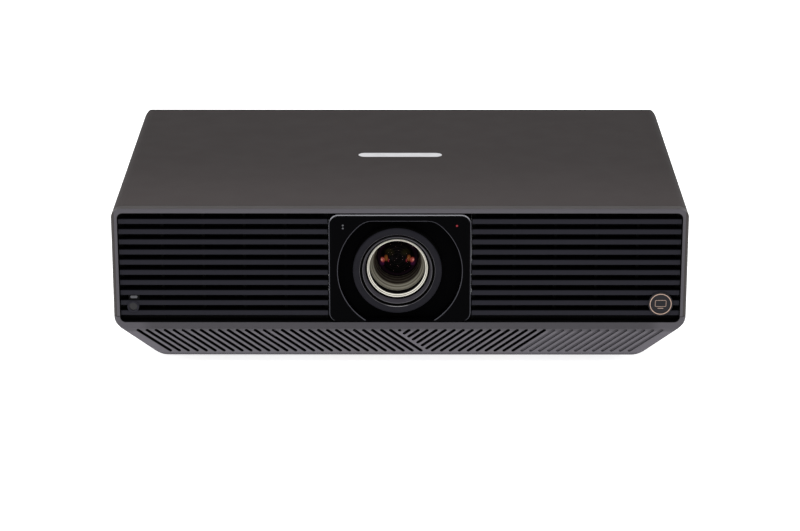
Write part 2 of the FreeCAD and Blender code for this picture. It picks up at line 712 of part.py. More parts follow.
def focus_cell():
    """Tube that carries the front glass, stepped like a funnel on the inside."""
    front = at(CELL_SETBACK)
    back = front + CELL_LENGTH
    seat = front + GLASS_DEPTH
    bore = GLASS_RADIUS + 0.1
    lip = GLASS_RADIUS - GLASS_LIP
    funnel = GLASS_DEPTH - GLASS_SEAT - GLASS_LIP
    mouth = RETAINER_RADIUS - RETAINER_WIDTH
    profile = [(CELL_RADIUS, front), (CELL_RADIUS, back), (lip, back)]
    profile += [(lip, seat + GLASS_SEAT), (bore, seat + GLASS_SEAT), (bore, seat - GLASS_SEAT)]
    profile += [(lip, seat - GLASS_SEAT), (lip, front + funnel)]
    for step in range(1, FUNNEL_STEPS):
        radius = lip + (mouth - lip) * step / FUNNEL_STEPS
        depth = funnel * (1 - step / FUNNEL_STEPS)
        profile += [(radius - 0.5, front + depth + 0.6), (radius, front + depth)]
    profile += [(mouth, front)]
    return turned(profile, LENS_X, LENS_Z)


def front_element():
    """Biconvex front glass."""
    middle = at(CELL_SETBACK) + GLASS_DEPTH
    depth = GLASS_EDGE
    thick = depth + GLASS_BULGE - math.sqrt(GLASS_BULGE ** 2 - GLASS_RADIUS ** 2)
    half_way = GLASS_RADIUS / 2
    bow = thick - GLASS_BULGE + math.sqrt(GLASS_BULGE ** 2 - half_way ** 2)

    def place(radius, along):
        return Vector(LENS_X + radius, middle + along, LENS_Z)

    edges = [Part.Arc(place(0, -thick), place(half_way, -bow), place(GLASS_RADIUS, -depth)).toShape()]
    edges.append(Part.LineSegment(place(GLASS_RADIUS, -depth), place(GLASS_RADIUS, depth)).toShape())
    edges.append(Part.Arc(place(GLASS_RADIUS, depth), place(half_way, bow), place(0, thick)).toShape())
    edges.append(Part.LineSegment(place(0, thick), place(0, -thick)).toShape())
    return Part.Face(Part.Wire(edges)).revolve(Vector(LENS_X, 0, LENS_Z), BACK, 360)


def collar(y0, y1):
    return tube(BARREL_RADIUS + 2.5, BARREL_BORE + 1, LENS_X, y0, LENS_Z, y1 - y0, BACK)


def lens_barrel():
    """Main tube with stop collars for the two toothed rings and a rear flange."""
    front = at(HOOD_SETBACK + HOOD_LENGTH)
    back = at(SLIDE_PLATE_AT)
    pieces = [tube(BARREL_RADIUS, BARREL_BORE, LENS_X, front, LENS_Z, back - front, BACK)]
    pieces.append(tube(BARREL_RADIUS + BARREL_FLANGE, BARREL_BORE, LENS_X, back - 3, LENS_Z, 3, BACK))
    for ring_at in (FOCUS_RING_AT, ZOOM_RING_AT):
        pieces.append(collar(at(ring_at) - CLEARANCE - 1.5, at(ring_at) - CLEARANCE))
        pieces.append(collar(at(ring_at) + RING_WIDTH + CLEARANCE, at(ring_at) + RING_WIDTH + 2))
    return fused(pieces)


def involute(angle):
    return math.tan(angle) - angle


def gear_outline(teeth, phase):
    """Points of a spur gear with involute flanks of 20 degrees, a tooth centred on phase."""
    pressure = math.radians(20)
    pitch = MODULE * teeth / 2
    base = pitch * math.cos(pressure)
    root = pitch - 1.25 * MODULE
    tip = pitch + 0.9 * MODULE
    low = max(base, root)
    half = (math.pi * MODULE / 2 - BACKLASH / 2) / (2 * pitch)
    points = []
    for tooth in range(teeth):
        middle = phase + 2 * math.pi * tooth / teeth
        flank = []
        for step in range(4):
            radius = low + (tip - low) * step / 3
            flank.append((radius, half + involute(pressure) - involute(math.acos(base / radius))))
        foot = (root, flank[0][1] + 0.01)
        side = ([foot] if low > root else []) + flank
        for sign, run in ((-1, side), (1, reversed(side))):
            for radius, spread in run:
                angle = middle + sign * spread
                points.append((radius * math.cos(angle), radius * math.sin(angle)))
    return points


def gear(teeth, phase, x, y, z, width):
    """Spur gear turning about the Y direction through (x, z)."""
    points = [Vector(x + u, y, z + v) for u, v in gear_outline(teeth, phase)]
    return Part.Face(Part.makePolygon(points + points[:1])).extrude(BACK * width)


def ring_gear(distance, direction):
    blank = gear(RING_TEETH, direction, LENS_X, at(distance), LENS_Z, RING_WIDTH)
    return blank.cut(rod(BARREL_RADIUS + RUNNING, LENS_X, at(distance), LENS_Z, RING_WIDTH, BACK))


def pinion_place(direction):
    reach = MODULE * (RING_TEETH + PINION_TEETH) / 2
    return LENS_X + reach * math.cos(direction), LENS_Z + reach * math.sin(direction)


def pinion(distance, direction):
    """Motor pinion in mesh with its ring, with a short shaft into the motor."""
    x, z = pinion_place(direction)
    phase = direction + math.pi + math.pi / PINION_TEETH
    wheel = gear(PINION_TEETH, phase, x, at(distance) - 0.5, z, RING_WIDTH + 1)
    return fused([wheel, rod(1.5, x, at(distance), z, RING_WIDTH + 5, BACK)])


def ring_motor(distance, direction, end):
    """Small geared motor behind a pinion, reaching back to end."""
    x, z = pinion_place(direction)
    y = at(distance) + RING_WIDTH + 1
    body = rod(MOTOR_RADIUS, x, y, z, end - y, BACK)
    return body.cut(rod(1.5 + RUNNING, x, y, z, 5, BACK))


def focus_motor():
    return ring_motor(FOCUS_RING_AT, PINION_ANGLE, at(FOCUS_RING_AT) + 30)


def zoom_motor():
    return ring_motor(ZOOM_RING_AT, math.pi - PINION_ANGLE, at(SLIDE_PLATE_AT))


def zoom_group():
    """Moving inner cell of the zoom, shown with its glass as one disc."""
    y = at(ZOOM_RING_AT) - 4
    edge = BARREL_BORE - CLEARANCE
    profile = [(0.0, y + 3), (20, y + 5), (20, y), (edge, y)]
    profile += [(edge, y + 14), (20, y + 14), (20, y + 9), (0.0, y + 11)]
    return turned(profile, LENS_X, LENS_Z)


def shift_mask():
    """Black plate around the hood that closes the aperture wherever the lens stands."""
    half_x = APERTURE_RADIUS + SHIFT_X + 0.5
    half_z = APERTURE_FLAT + SHIFT_Z + 0.5
    y = at(MASK_SETBACK)
    plate = box(LENS_X - half_x, LENS_X + half_x, y, y + MASK_THICKNESS, LENS_Z - half_z,
                LENS_Z + half_z)
    return plate.cut(rod(HOOD_RADIUS + CLEARANCE, LENS_X, y, LENS_Z, MASK_THICKNESS, BACK))


# ---------------------------------------------------------------- lens shift

SLIDE_ROD_Y = at(SLIDE_PLATE_AT) + SLIDE_PLATE + ROD_BEHIND_PLATE
SLIDE_RODS = (-30.0, 30.0)
SLIDE_SCREW = -38.0
LIFT_RODS = (-50.0, 50.0)
LIFT_SCREW = 38.0
BLOCK_IN = 56.0
BLOCK_OUT = 63.0
LUG = 5.5
BRACKET = 4.0
BRACKET_LOW = 50.0            # under side of the lower bracket below the lens axis
BRACKET_HIGH = 40.0           # under side of the upper bracket above the lens axis


def horizontal_carriage():
    """Plate behind the barrel with bearing lugs, a screw nut and the arm of the focus motor."""
    y = at(SLIDE_PLATE_AT)
    plate = box(LENS_X - 52, LENS_X + 52, y, y + SLIDE_PLATE, LENS_Z - 42, LENS_Z + 37)
    lugs = []
    rear = SLIDE_ROD_Y + ROD_BEHIND_PLATE
    for height in SLIDE_RODS:
        for x in (-45, 25):
            lugs.append(box(LENS_X + x, LENS_X + x + 20, y + 1, rear, LENS_Z + height - LUG,
                            LENS_Z + height + LUG))
    lugs.append(box(LENS_X - 7, LENS_X + 7, y + 1, rear, LENS_Z + SLIDE_SCREW - 4,
                    LENS_Z + SLIDE_SCREW + 4))
    x, z = pinion_place(PINION_ANGLE)
    lugs.append(box(x - 5, x + 5, at(FOCUS_RING_AT) + 30, y + 1, z - 5, z + 5))
    carriage = fused([plate] + lugs)
    bores = [rod(BARREL_BORE - 1, LENS_X, y - 1, LENS_Z, 30, BACK)]
    for height in SLIDE_RODS:
        bores.append(rod(ROD_RADIUS + RUNNING, -BLOCK_OUT, SLIDE_ROD_Y, LENS_Z + height,
                         2 * BLOCK_OUT, RIGHT))
    bores.append(rod(SCREW_RADIUS + RUNNING, -BLOCK_OUT, SLIDE_ROD_Y, LENS_Z + SLIDE_SCREW,
                     2 * BLOCK_OUT, RIGHT))
    return carriage.cut(Part.makeCompound(bores))


def vertical_carriage():
    """Plate with end blocks for the horizontal rods and lugs on the vertical rods."""
    y = at(LIFT_PLATE_AT)
    front = at(SLIDE_PLATE_AT) + SLIDE_PLATE - 1
    low = LENS_Z - 43
    high = LENS_Z + 36
    pieces = [box(-BLOCK_OUT, BLOCK_OUT, y, y + 5, low, high)]
    for x in (-BLOCK_OUT, BLOCK_IN):
        pieces.append(box(x, x + BLOCK_OUT - BLOCK_IN, front, y + 5, low, high))
    rear = at(LIFT_ROD_AT) + ROD_BEHIND_PLATE
    for x in LIFT_RODS:
        for height in (-30, 15):
            pieces.append(box(x - LUG, x + LUG, y + 1, rear, LENS_Z + height, LENS_Z + height + 15))
    pieces.append(box(LIFT_SCREW - 5, LIFT_SCREW + 5, y + 1, rear, LENS_Z - 12, LENS_Z))
    carriage = fused(pieces)
    bores = [rod(BARREL_BORE + 4, 0, y - 1, LENS_Z, 7, BACK)]
    for height in SLIDE_RODS:
        bores.append(rod(ROD_RADIUS + 0.02, -80, SLIDE_ROD_Y, LENS_Z + height, 160, RIGHT))
    bores.append(rod(SCREW_RADIUS + RUNNING, -80, SLIDE_ROD_Y, LENS_Z + SLIDE_SCREW, 160, RIGHT))
    for x in LIFT_RODS:
        bores.append(rod(ROD_RADIUS + RUNNING, x, at(LIFT_ROD_AT), BASE, TOP, UP))
    bores.append(rod(SCREW_RADIUS + RUNNING, LIFT_SCREW, at(LIFT_ROD_AT), BASE, TOP, UP))
    return carriage.cut(Part.makeCompound(bores))


def horizontal_rods():
    rods = [rod(ROD_RADIUS, -BLOCK_OUT, SLIDE_ROD_Y, LENS_Z + height, 2 * BLOCK_OUT, RIGHT)
            for height in SLIDE_RODS]
    return Part.makeCompound(rods)


def vertical_rods():
    low = LENS_Z - BRACKET_LOW + 1
    high = LENS_Z + BRACKET_HIGH + BRACKET
    rods = [rod(ROD_RADIUS, x, at(LIFT_ROD_AT), low, high - low, UP) for x in LIFT_RODS]
    return Part.makeCompound(rods)


def horizontal_screw():
    """Lead screw, its thread shown at its mean diameter."""
    return rod(SCREW_RADIUS, -BLOCK_OUT, SLIDE_ROD_Y, LENS_Z + SLIDE_SCREW, 2 * BLOCK_OUT + 6, RIGHT)


def vertical_screw():
    low = LENS_Z - BRACKET_LOW - 6
    return rod(SCREW_RADIUS, LIFT_SCREW, at(LIFT_ROD_AT), low, 62, UP)


def horizontal_motor():
    body = rod(7, BLOCK_OUT, SLIDE_ROD_Y, LENS_Z + SLIDE_SCREW, 20, RIGHT)
    bore = rod(SCREW_RADIUS + RUNNING, BLOCK_OUT, SLIDE_ROD_Y, LENS_Z + SLIDE_SCREW, 7, RIGHT)
    return body.cut(bore)


def vertical_motor():
    top = LENS_Z - BRACKET_LOW
    body = rod(7, LIFT_SCREW, at(LIFT_ROD_AT), top - 17, 17, UP)
    return body.cut(rod(SCREW_RADIUS + RUNNING, LIFT_SCREW, at(LIFT_ROD_AT), top - 7, 7, UP))


# ---------------------------------------------------------------- light engine

ENGINE_FRONT = at(ENGINE_AT)
ENGINE_BACK = ENGINE_FRONT + ENGINE_LENGTH
ENGINE_LOW = FLOOR + ENGINE_RISE
ENGINE_HIGH = ENGINE_LOW + ENGINE_HEIGHT
WHEEL_X = 40.0
WHEEL_Y = ENGINE_BACK - 34


def engine_housing():
    """Closed housing with the lens port in front and brackets for the vertical rods."""
    wall = ENGINE_WALL
    shell = box(ENGINE_LEFT, ENGINE_RIGHT, ENGINE_FRONT, ENGINE_BACK, ENGINE_LOW, ENGINE_HIGH)
    hollow = box(ENGINE_LEFT + wall, ENGINE_RIGHT - wall, ENGINE_FRONT + wall, ENGINE_BACK - wall,
                 ENGINE_LOW + wall, ENGINE_HIGH - wall)
    shell = shell.cut(hollow).cut(rod(20, 0, ENGINE_FRONT - 1, LENS_Z, 6, BACK))
    shell = shell.cut(rod(14, 0, ENGINE_BACK - 5, LENS_Z, 8, BACK))
    front = at(LIFT_ROD_AT) - 4
    brackets = []
    for low in (LENS_Z - BRACKET_LOW, LENS_Z + BRACKET_HIGH):
        brackets.append(box(-BLOCK_IN, BLOCK_IN, front, ENGINE_FRONT + 1, low, low + BRACKET))
    boss = rod(10, WHEEL_X, WHEEL_Y + 14, LENS_Z, ENGINE_BACK - WHEEL_Y - 14, BACK)
    housing = fused([shell, boss] + brackets)
    start = LENS_Z - BRACKET_LOW + 1
    rods = [rod(ROD_RADIUS + 0.02, x, at(LIFT_ROD_AT), start, 110, UP) for x in LIFT_RODS]
    rods.append(rod(SCREW_RADIUS + 0.5, LIFT_SCREW, at(LIFT_ROD_AT), BASE, LENS_Z - BASE, UP))
    return housing.cut(Part.makeCompound(rods))


def imaging_chip():
    """Chip board on the rear of the engine with its finned cooler."""
    half = CHIP_SIZE / 2
    z0 = LENS_Z - half
    z1 = LENS_Z + half
    pieces = [box(-half, half, ENGINE_BACK, ENGINE_BACK + 2, z0, z1)]
    pieces.append(box(-8, 8, ENGINE_BACK - 2, ENGINE_BACK + 1, LENS_Z - 6, LENS_Z + 6))
    pieces.append(box(-half + 2, half - 2, ENGINE_BACK + 1, ENGINE_BACK + 5, z0 + 2, z1 - 2))
    for index in range(8):
        x = -half + 2 + index * (CHIP_SIZE - 6) / 7
        pieces.append(box(x, x + FIN, ENGINE_BACK + 4, ENGINE_BACK + 16, z0 + 2, z1 - 2))
    return fused(pieces)


def laser_module():
    """Block of laser diodes on the side of the engine."""
    y = ENGINE_FRONT + 20
    block = box(ENGINE_RIGHT, ENGINE_RIGHT + LASER_DEPTH, y, y + 70, LENS_Z - 35, LENS_Z + 25)
    caps = []
    for row in range(2):
        for column in range(4):
            caps.append(rod(4.5, ENGINE_RIGHT + 6, y + 11 + column * 16, LENS_Z + 25 - 1, 5, UP)
                        .translated(Vector(row * 10, 0, 0)))
    return fused([block] + caps)


def laser_heat_sink():
    """Base plate with upright fins that run front to back."""
    x = ENGINE_RIGHT + LASER_DEPTH
    y0 = ENGINE_FRONT
    y1 = y0 + SINK_LENGTH
    base = box(x, x + 6, y0, y1, ENGINE_LOW, ENGINE_HIGH - 8)
    fins = [base]
    count = int((ENGINE_HIGH - 8 - ENGINE_LOW - FIN) / FIN_PITCH)
    for index in range(count + 1):
        z = ENGINE_LOW + index * FIN_PITCH
        fins.append(box(x + 5, x + SINK_WIDTH, y0, y1, z, z + FIN))
    return fused(fins)


def phosphor_wheel():
    """Thin disc on the shaft of its motor."""
    disc = rod(WHEEL_RADIUS, WHEEL_X, WHEEL_Y, LENS_Z, 1.2, BACK)
    hub = rod(8, WHEEL_X, WHEEL_Y - 2.5, LENS_Z, 4, BACK)
    shaft = rod(1.5, WHEEL_X, WHEEL_Y, LENS_Z, 9, BACK)
    return fused([disc, hub, shaft])


def phosphor_motor():
    body = rod(9, WHEEL_X, WHEEL_Y + 2, LENS_Z, 12, BACK)
    return body.cut(rod(1.5 + RUNNING, WHEEL_X, WHEEL_Y + 2, LENS_Z, 9, BACK))


# ---------------------------------------------------------------- fans

def fan_frame(x):
    """Square frame with a round duct, four struts and the bearing cup."""
    y = at(FAN_AT)
    half = FAN_SIZE / 2
    corners = [(x + half, LENS_Z + half, 4), (x + half, LENS_Z - half, 4)]
    corners += [(x - half, LENS_Z - half, 4), (x - half, LENS_Z + half, 4)]
    frame = prism_y(corners, y, y + FAN_DEPTH)
    frame = frame.cut(rod(FAN_BORE, x, y - 1, LENS_Z, FAN_DEPTH + 2, BACK))
    for sx in (-1, 1):
        for sz in (-1, 1):
            reach = half - 4.5
            frame = frame.cut(rod(2.2, x + sx * reach, y - 1, LENS_Z + sz * reach, FAN_DEPTH + 2, BACK))
    rear = y + FAN_DEPTH
    cup = rod(14, x, rear - 5, LENS_Z, 5, BACK)
    bearing = rod(4, x, rear - 12, LENS_Z, 8, BACK)
    struts = []
    for turn in (45, 135):
        strut = box(x - FAN_BORE - 0.5, x + FAN_BORE + 0.5, rear - 3, rear, LENS_Z - 1.5, LENS_Z + 1.5)
        strut.rotate(Vector(x, 0, LENS_Z), BACK, turn)
        struts.append(strut)
    frame = fused([frame, cup, bearing] + struts)
    return frame.cut(rod(1.5 + RUNNING, x, rear - 13, LENS_Z, 11, BACK))


def fan_rotor(x):
    """Cup-shaped hub with pitched blades and the shaft that runs in the frame's bearing."""
    hub = rod(15, 0, 0, 0, 17, BACK).cut(rod(13, 0, 2, 0, 16, BACK))
    pieces = [hub, rod(1.5, 0, 1, 0, FAN_DEPTH - 5, BACK)]
    sweep = tube(FAN_BORE - 1, 14, 0, 1, 0, 15, BACK)
    for index in range(BLADES):
        blade = box(-0.8, 0.8, -13, 13, 13, FAN_BORE)
        blade.rotate(Vector(0, 0, 0), UP, 38)
        blade.translate(BACK * 9)
        blade.rotate(Vector(0, 0, 0), BACK, 360.0 * index / BLADES + 12)
        pieces.append(blade.common(sweep))
    return fused(pieces).translated(Vector(x, at(FAN_AT) + 1, LENS_Z))


# ---------------------------------------------------------------- boards and speakers

def main_board():
    """Signal board with its chips under small heat sinks, behind the sockets."""
    x0 = MAIN_BOARD_X - MAIN_BOARD_WIDTH / 2
    y0 = SOCKET_Y - 3 - MAIN_BOARD_DEPTH
    z = MAIN_BOARD_Z
    pieces = [box(x0, x0 + MAIN_BOARD_WIDTH, y0, y0 + MAIN_BOARD_DEPTH, z, z + BOARD)]
    pieces.append(box(x0 + 40, x0 + 62, y0 + 10, y0 + 32, z + 1, z + 6))
    for index in range(4):
        x = x0 + 12 + index * 6
        pieces.append(rod(2.5, x, y0 + 18, z + 1, 9, UP))
    for index in range(3):
        x = x0 + 155 + index * 13
        pieces.append(box(x, x + 9, y0 + 12, y0 + 24, z + 1, z + 2.8))
    return fused(pieces)


def power_board():
    """Supply board with transformer, capacitors and a finned cooler."""
    x0 = POWER_BOARD_X - POWER_BOARD_WIDTH / 2
    y0 = -POWER_BOARD_DEPTH / 2
    z = POWER_BOARD_Z
    corners = [(x0 + POWER_BOARD_WIDTH, -y0, 2), (x0 + POWER_BOARD_WIDTH, y0, 2)]
    corners += [(x0, y0, 2), (x0, -y0, 2)]
    pieces = [prism_z(corners, z, z + BOARD)]
    pieces.append(box(x0 + 20, x0 + 58, y0 + 42, y0 + 78, z + 1, z + 32))
    for index in range(3):
        pieces.append(rod(9, x0 + 78, y0 + 24 + index * 22, z + 1, 30, UP))
    for index in range(5):
        y = y0 + 92 + index * 6
        pieces.append(box(x0 + 16, x0 + 70, y, y + FIN, z + 1, z + 26))
    pieces.append(box(x0 + 16, x0 + 70, y0 + 92, y0 + 118, z + 1, z + 5))
    return fused(pieces)


def speakers():
    """A closed box with a round driver on each side of the rear."""
    width, depth, height = SPEAKER
    z = FLOOR + SPEAKER_RISE
    boxes = []
    for side in (-1, 1):
        x = side * SPEAKER_X
        case = box(x - width / 2, x + width / 2, SPEAKER_Y - depth / 2, SPEAKER_Y + depth / 2, z,
                   z + height)
        face = x + side * width / 2
        driver = tube(18, 15, face, SPEAKER_Y, z + height / 2, 3, RIGHT * side)
        dome = rod(6, face, SPEAKER_Y, z + height / 2, 2, RIGHT * side)
        boxes.append(fused([case, driver, dome]))
    return Part.makeCompound(boxes)


# ---------------------------------------------------------------- rear

HDMI = (15.0, 11.5, 6.4)
USB = (14.4, 17.0, 7.2)
LAN = (16.4, 19.0, 13.8)
INLET = (27.0, 28.0, 20.0)
SOCKET_RISE = MAIN_BOARD_Z + BOARD
INLET_Z = FLOOR + INLET_RISE
BUTTON_Z = FLOOR + BUTTON_RISE


def socket_body(x, size):
    """Block of a socket on the main board, its mouth flush with the rear panel."""
    width, depth, height = size
    return box(x - width / 2, x + width / 2, REAR_FACE - depth, REAR_FACE, SOCKET_RISE,
               SOCKET_RISE + height)


def socket_cavity(x, size, wall, depth):
    width, _, height = size
    return box(x - width / 2 + wall, x + width / 2 - wall, REAR_FACE - depth, REAR_FACE + PAST,
               SOCKET_RISE + wall, SOCKET_RISE + height - wall)


def hdmi_ports():
    ports = []
    for x in HDMI_X:
        tongue = box(x - 5, x + 5, REAR_FACE - 11, REAR_FACE - 2, SOCKET_RISE + 3.0, SOCKET_RISE + 3.8)
        ports.append(fused([socket_body(x, HDMI).cut(socket_cavity(x, HDMI, 0.7, 10)), tongue]))
    return Part.makeCompound(ports)


def usb_ports():
    ports = []
    for x in USB_X:
        tongue = box(x - 5, x + 5, REAR_FACE - 16, REAR_FACE - 4, SOCKET_RISE + 1.4, SOCKET_RISE + 3.0)
        tongue = tongue.fuse(box(x - 5, x + 5, REAR_FACE - 17, REAR_FACE - 15, SOCKET_RISE + 0.5,
                                 SOCKET_RISE + 3.0))
        ports.append(fused([socket_body(x, USB).cut(socket_cavity(x, USB, 0.8, 16)), tongue]))
    return Part.makeCompound(ports)


def lan_port():
    body = socket_body(LAN_X, LAN)
    cavity = box(LAN_X - 5.9, LAN_X + 5.9, REAR_FACE - 14, REAR_FACE + PAST, SOCKET_RISE + 3.5,
                 SOCKET_RISE + 11)
    latch = box(LAN_X - 3, LAN_X + 3, REAR_FACE - 8, REAR_FACE + PAST, SOCKET_RISE + 1.5,
                SOCKET_RISE + 4)
    return body.cut(cavity).cut(latch)


def mains_inlet():
    """Three-pin appliance inlet with its flange on the rear panel."""
    width, depth, height = INLET
    corners = [(INLET_X + width / 2, INLET_Z + height / 2, 2)]
    corners.append((INLET_X + width / 2, INLET_Z - height / 2, 2))
    corners.append((INLET_X - width / 2, INLET_Z - height / 2, 2))
    corners.append((INLET_X - width / 2, INLET_Z + height / 2, 2))
    body = prism_y(corners, REAR_FACE - depth, REAR_FACE)
    flange = box(INLET_X - width / 2 - 3, INLET_X + width / 2 + 3, REAR_FACE, REAR_FACE + 1.5,
                 INLET_Z - height / 2 - 2, INLET_Z + height / 2 + 2)
    recess = [(INLET_X + 12, INLET_Z + 8.2, 4), (INLET_X + 12, INLET_Z - 8.2, 1)]
    recess += [(INLET_X - 12, INLET_Z - 8.2, 1), (INLET_X - 12, INLET_Z + 8.2, 4)]
    case = fused([body, flange]).cut(prism_y(recess, REAR_FACE - 17, REAR_FACE + 2))
    pins = []
    for x, z in ((-7, -2), (0, 2), (7, -2)):
        pins.append(box(INLET_X + x - 1, INLET_X + x + 1, REAR_FACE - 19, REAR_FACE - 5,
                        INLET_Z + z - 2, INLET_Z + z + 2))
    return fused([case] + pins)


def rear_panel():
    """Plate behind the window of the rear wall, cut out for sockets, inlet and button."""
    side = SIDE - REAR_MARGIN + REAR_LAP
    half = [(side, TOP - REAR_TOP + REAR_LAP - 1, 2), (side, SEAM - REAR_LAP, 2)]
    panel = prism_y(mirrored(half), SOCKET_Y, REAR_FACE)
    gap = CLEARANCE
    cuts = []
    for x, size in [(x, HDMI) for x in HDMI_X] + [(x, USB) for x in USB_X] + [(LAN_X, LAN)]:
        cuts.append(box(x - size[0] / 2 - gap, x + size[0] / 2 + gap, SOCKET_Y - 1, REAR_FACE + PAST,
                        SOCKET_RISE - gap, SOCKET_RISE + size[2] + gap))
    width, _, height = INLET
    cuts.append(box(INLET_X - width / 2 - gap, INLET_X + width / 2 + gap, SOCKET_Y - 1,
                    REAR_FACE + PAST, INLET_Z - height / 2 - gap, INLET_Z + height / 2 + gap))
    cuts.append(rod(BUTTON_RADIUS + CLEARANCE, BUTTON_X, SOCKET_Y - 1, BUTTON_Z, 5, BACK))
    return panel.cut(Part.makeCompound(cuts))


def power_button():
    """Round key held behind the rear panel by its flange."""
    cap = rod(BUTTON_RADIUS, BUTTON_X, SOCKET_Y - 1, BUTTON_Z, REAR_PANEL + 3, BACK)
    top = cap.Edges
    cap = cap.makeFillet(0.6, [edge for edge in top if edge.CenterOfMass.y > REAR_FACE + 1])
    return fused([cap, rod(BUTTON_RADIUS + 2, BUTTON_X, SOCKET_Y - 2, BUTTON_Z, 1.7, BACK)])


# ---------------------------------------------------------------- underside

def foot_stem(side):
    """Threaded stem, its thread shown at its mean diameter."""
    return rod(STEM_RADIUS, side * FOOT_X, -FOOT_Y, STEM_BOTTOM, STEM_TOP - STEM_BOTTOM, UP)


def foot_knob(side):
    """Round rubber-soled knob turned by hand."""
    x = side * FOOT_X
    knob = rod(FOOT_RADIUS, x, -FOOT_Y, 0, FOOT_HEIGHT - CLEARANCE, UP)
    reach = FOOT_RADIUS + 0.2
    notches = []
    for index in range(KNOB_NOTCHES):
        angle = 2 * math.pi * index / KNOB_NOTCHES
        notches.append(rod(0.8, x + reach * math.cos(angle), -FOOT_Y + reach * math.sin(angle), 2,
                           FOOT_HEIGHT, UP))
    knob = knob.cut(Part.makeCompound(notches))
    return knob.cut(rod(STEM_RADIUS + RUNNING, x, -FOOT_Y, STEM_BOTTOM - CLEARANCE, FOOT_HEIGHT, UP))


def rear_feet():
    feet = []
    for side in (-1, 1):
        sole = Vector(side * FOOT_X, FOOT_Y, 0)
        feet.append(Part.makeCone(FOOT_RADIUS - 1, FOOT_RADIUS, FOOT_HEIGHT, sole))
    return Part.makeCompound(feet)


def mount_inserts():
    """Threaded brass inserts for a ceiling bracket."""
    inserts = []
    for x in (-INSERT_X, INSERT_X):
        for y in (-INSERT_Y, INSERT_Y):
            inserts.append(tube(INSERT_RADIUS, INSERT_BORE, x, y, BASE, INSERT_LENGTH - 0.5, UP))
    return Part.makeCompound(inserts)


def case_screws():
    """Screws from below into the posts of the top cover."""
    screws = []
    for x, y in SCREW_PLACES:
        head = rod(HEAD_RADIUS, x, y, BASE + HEAD_SINK, HEAD_HEIGHT, UP)
        head = head.cut(box(x - 2, x + 2, y - 0.4, y + 0.4, BASE, BASE + 1.2))
        head = head.cut(box(x - 0.4, x + 0.4, y - 2, y + 2, BASE, BASE + 1.2))
        shank = rod(SHANK_RADIUS, x, y, BASE + HEAD_SINK + HEAD_HEIGHT / 2, SHANK_LENGTH, UP)
        screws.append(fused([head, shank]))
    return Part.makeCompound(screws)


def build():
    outer = casing_block(0)
    inner = casing_block(WALL)
    return {
        "top_cover": top_cover(outer, inner),
        "front_bezel": front_bezel(outer),
        "lower_case": lower_case(outer, inner),
        "left_louvres": louvres(-1),
        "right_louvres": louvres(1),
        "dust_screens": dust_screens(),
        "lens_panel": lens_panel(),
        "status_led": status_led(),
        "sensor_windows": sensor_windows(),
        "ir_dome": ir_dome(),
        "badge_disc": badge_disc(),
        "badge_ring": badge_ring(),
        "top_inlay": inlay(0),
        "lens_hood": lens_hood(),
        "lens_retainer": lens_retainer(),
        "focus_cell": focus_cell(),
        "front_element": front_element(),
        "lens_barrel": lens_barrel(),
        "focus_ring": ring_gear(FOCUS_RING_AT, PINION_ANGLE),
        "zoom_ring": ring_gear(ZOOM_RING_AT, math.pi - PINION_ANGLE),
        "focus_pinion": pinion(FOCUS_RING_AT, PINION_ANGLE),
        "zoom_pinion": pinion(ZOOM_RING_AT, math.pi - PINION_ANGLE),
        "focus_motor": focus_motor(),
        "zoom_motor": zoom_motor(),
        "zoom_group": zoom_group(),
        "shift_mask": shift_mask(),
        "horizontal_carriage": horizontal_carriage(),
        "vertical_carriage": vertical_carriage(),
        "horizontal_rods": horizontal_rods(),
        "vertical_rods": vertical_rods(),
        "horizontal_screw": horizontal_screw(),
        "vertical_screw": vertical_screw(),
        "horizontal_motor": horizontal_motor(),
        "vertical_motor": vertical_motor(),
        "engine_housing": engine_housing(),
        "imaging_chip": imaging_chip(),
        "laser_module": laser_module(),
        "laser_heat_sink": laser_heat_sink(),
        "phosphor_wheel": phosphor_wheel(),
        "phosphor_motor": phosphor_motor(),
        "intake_fan_frame": fan_frame(-FAN_X),
        "intake_fan_rotor": fan_rotor(-FAN_X),
        "exhaust_fan_frame": fan_frame(FAN_X),
        "exhaust_fan_rotor": fan_rotor(FAN_X),
        "main_board": main_board(),
        "power_board": power_board(),
        "speakers": speakers(),
        "hdmi_ports": hdmi_ports(),
        "usb_ports": usb_ports(),
        "lan_port": lan_port(),
        "mains_inlet": mains_inlet(),
        "rear_panel": rear_panel(),
        "power_button": power_button(),
        "left_foot_stem": foot_stem(-1),
        "right_foot_stem": foot_stem(1),
        "left_foot_knob": foot_knob(-1),
        "right_foot_knob": foot_knob(1),
        "rear_feet": rear_feet(),
        "mount_inserts": mount_inserts(),
        "case_screws": case_screws(),
    }


os.makedirs("parts", exist_ok=True)
for name, shape in build().items():
    shape.exportStep(f"parts/{name}.step")
    print(name, len(shape.Solids), round(shape.Volume), shape.isValid())
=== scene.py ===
"""Looks of the home projector: materials for the CAD nodes, finer pieces for the lens, trims and stage.

Metres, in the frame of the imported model: X to the right seen from the front, Y to the rear, Z up.
"""

import json
import math

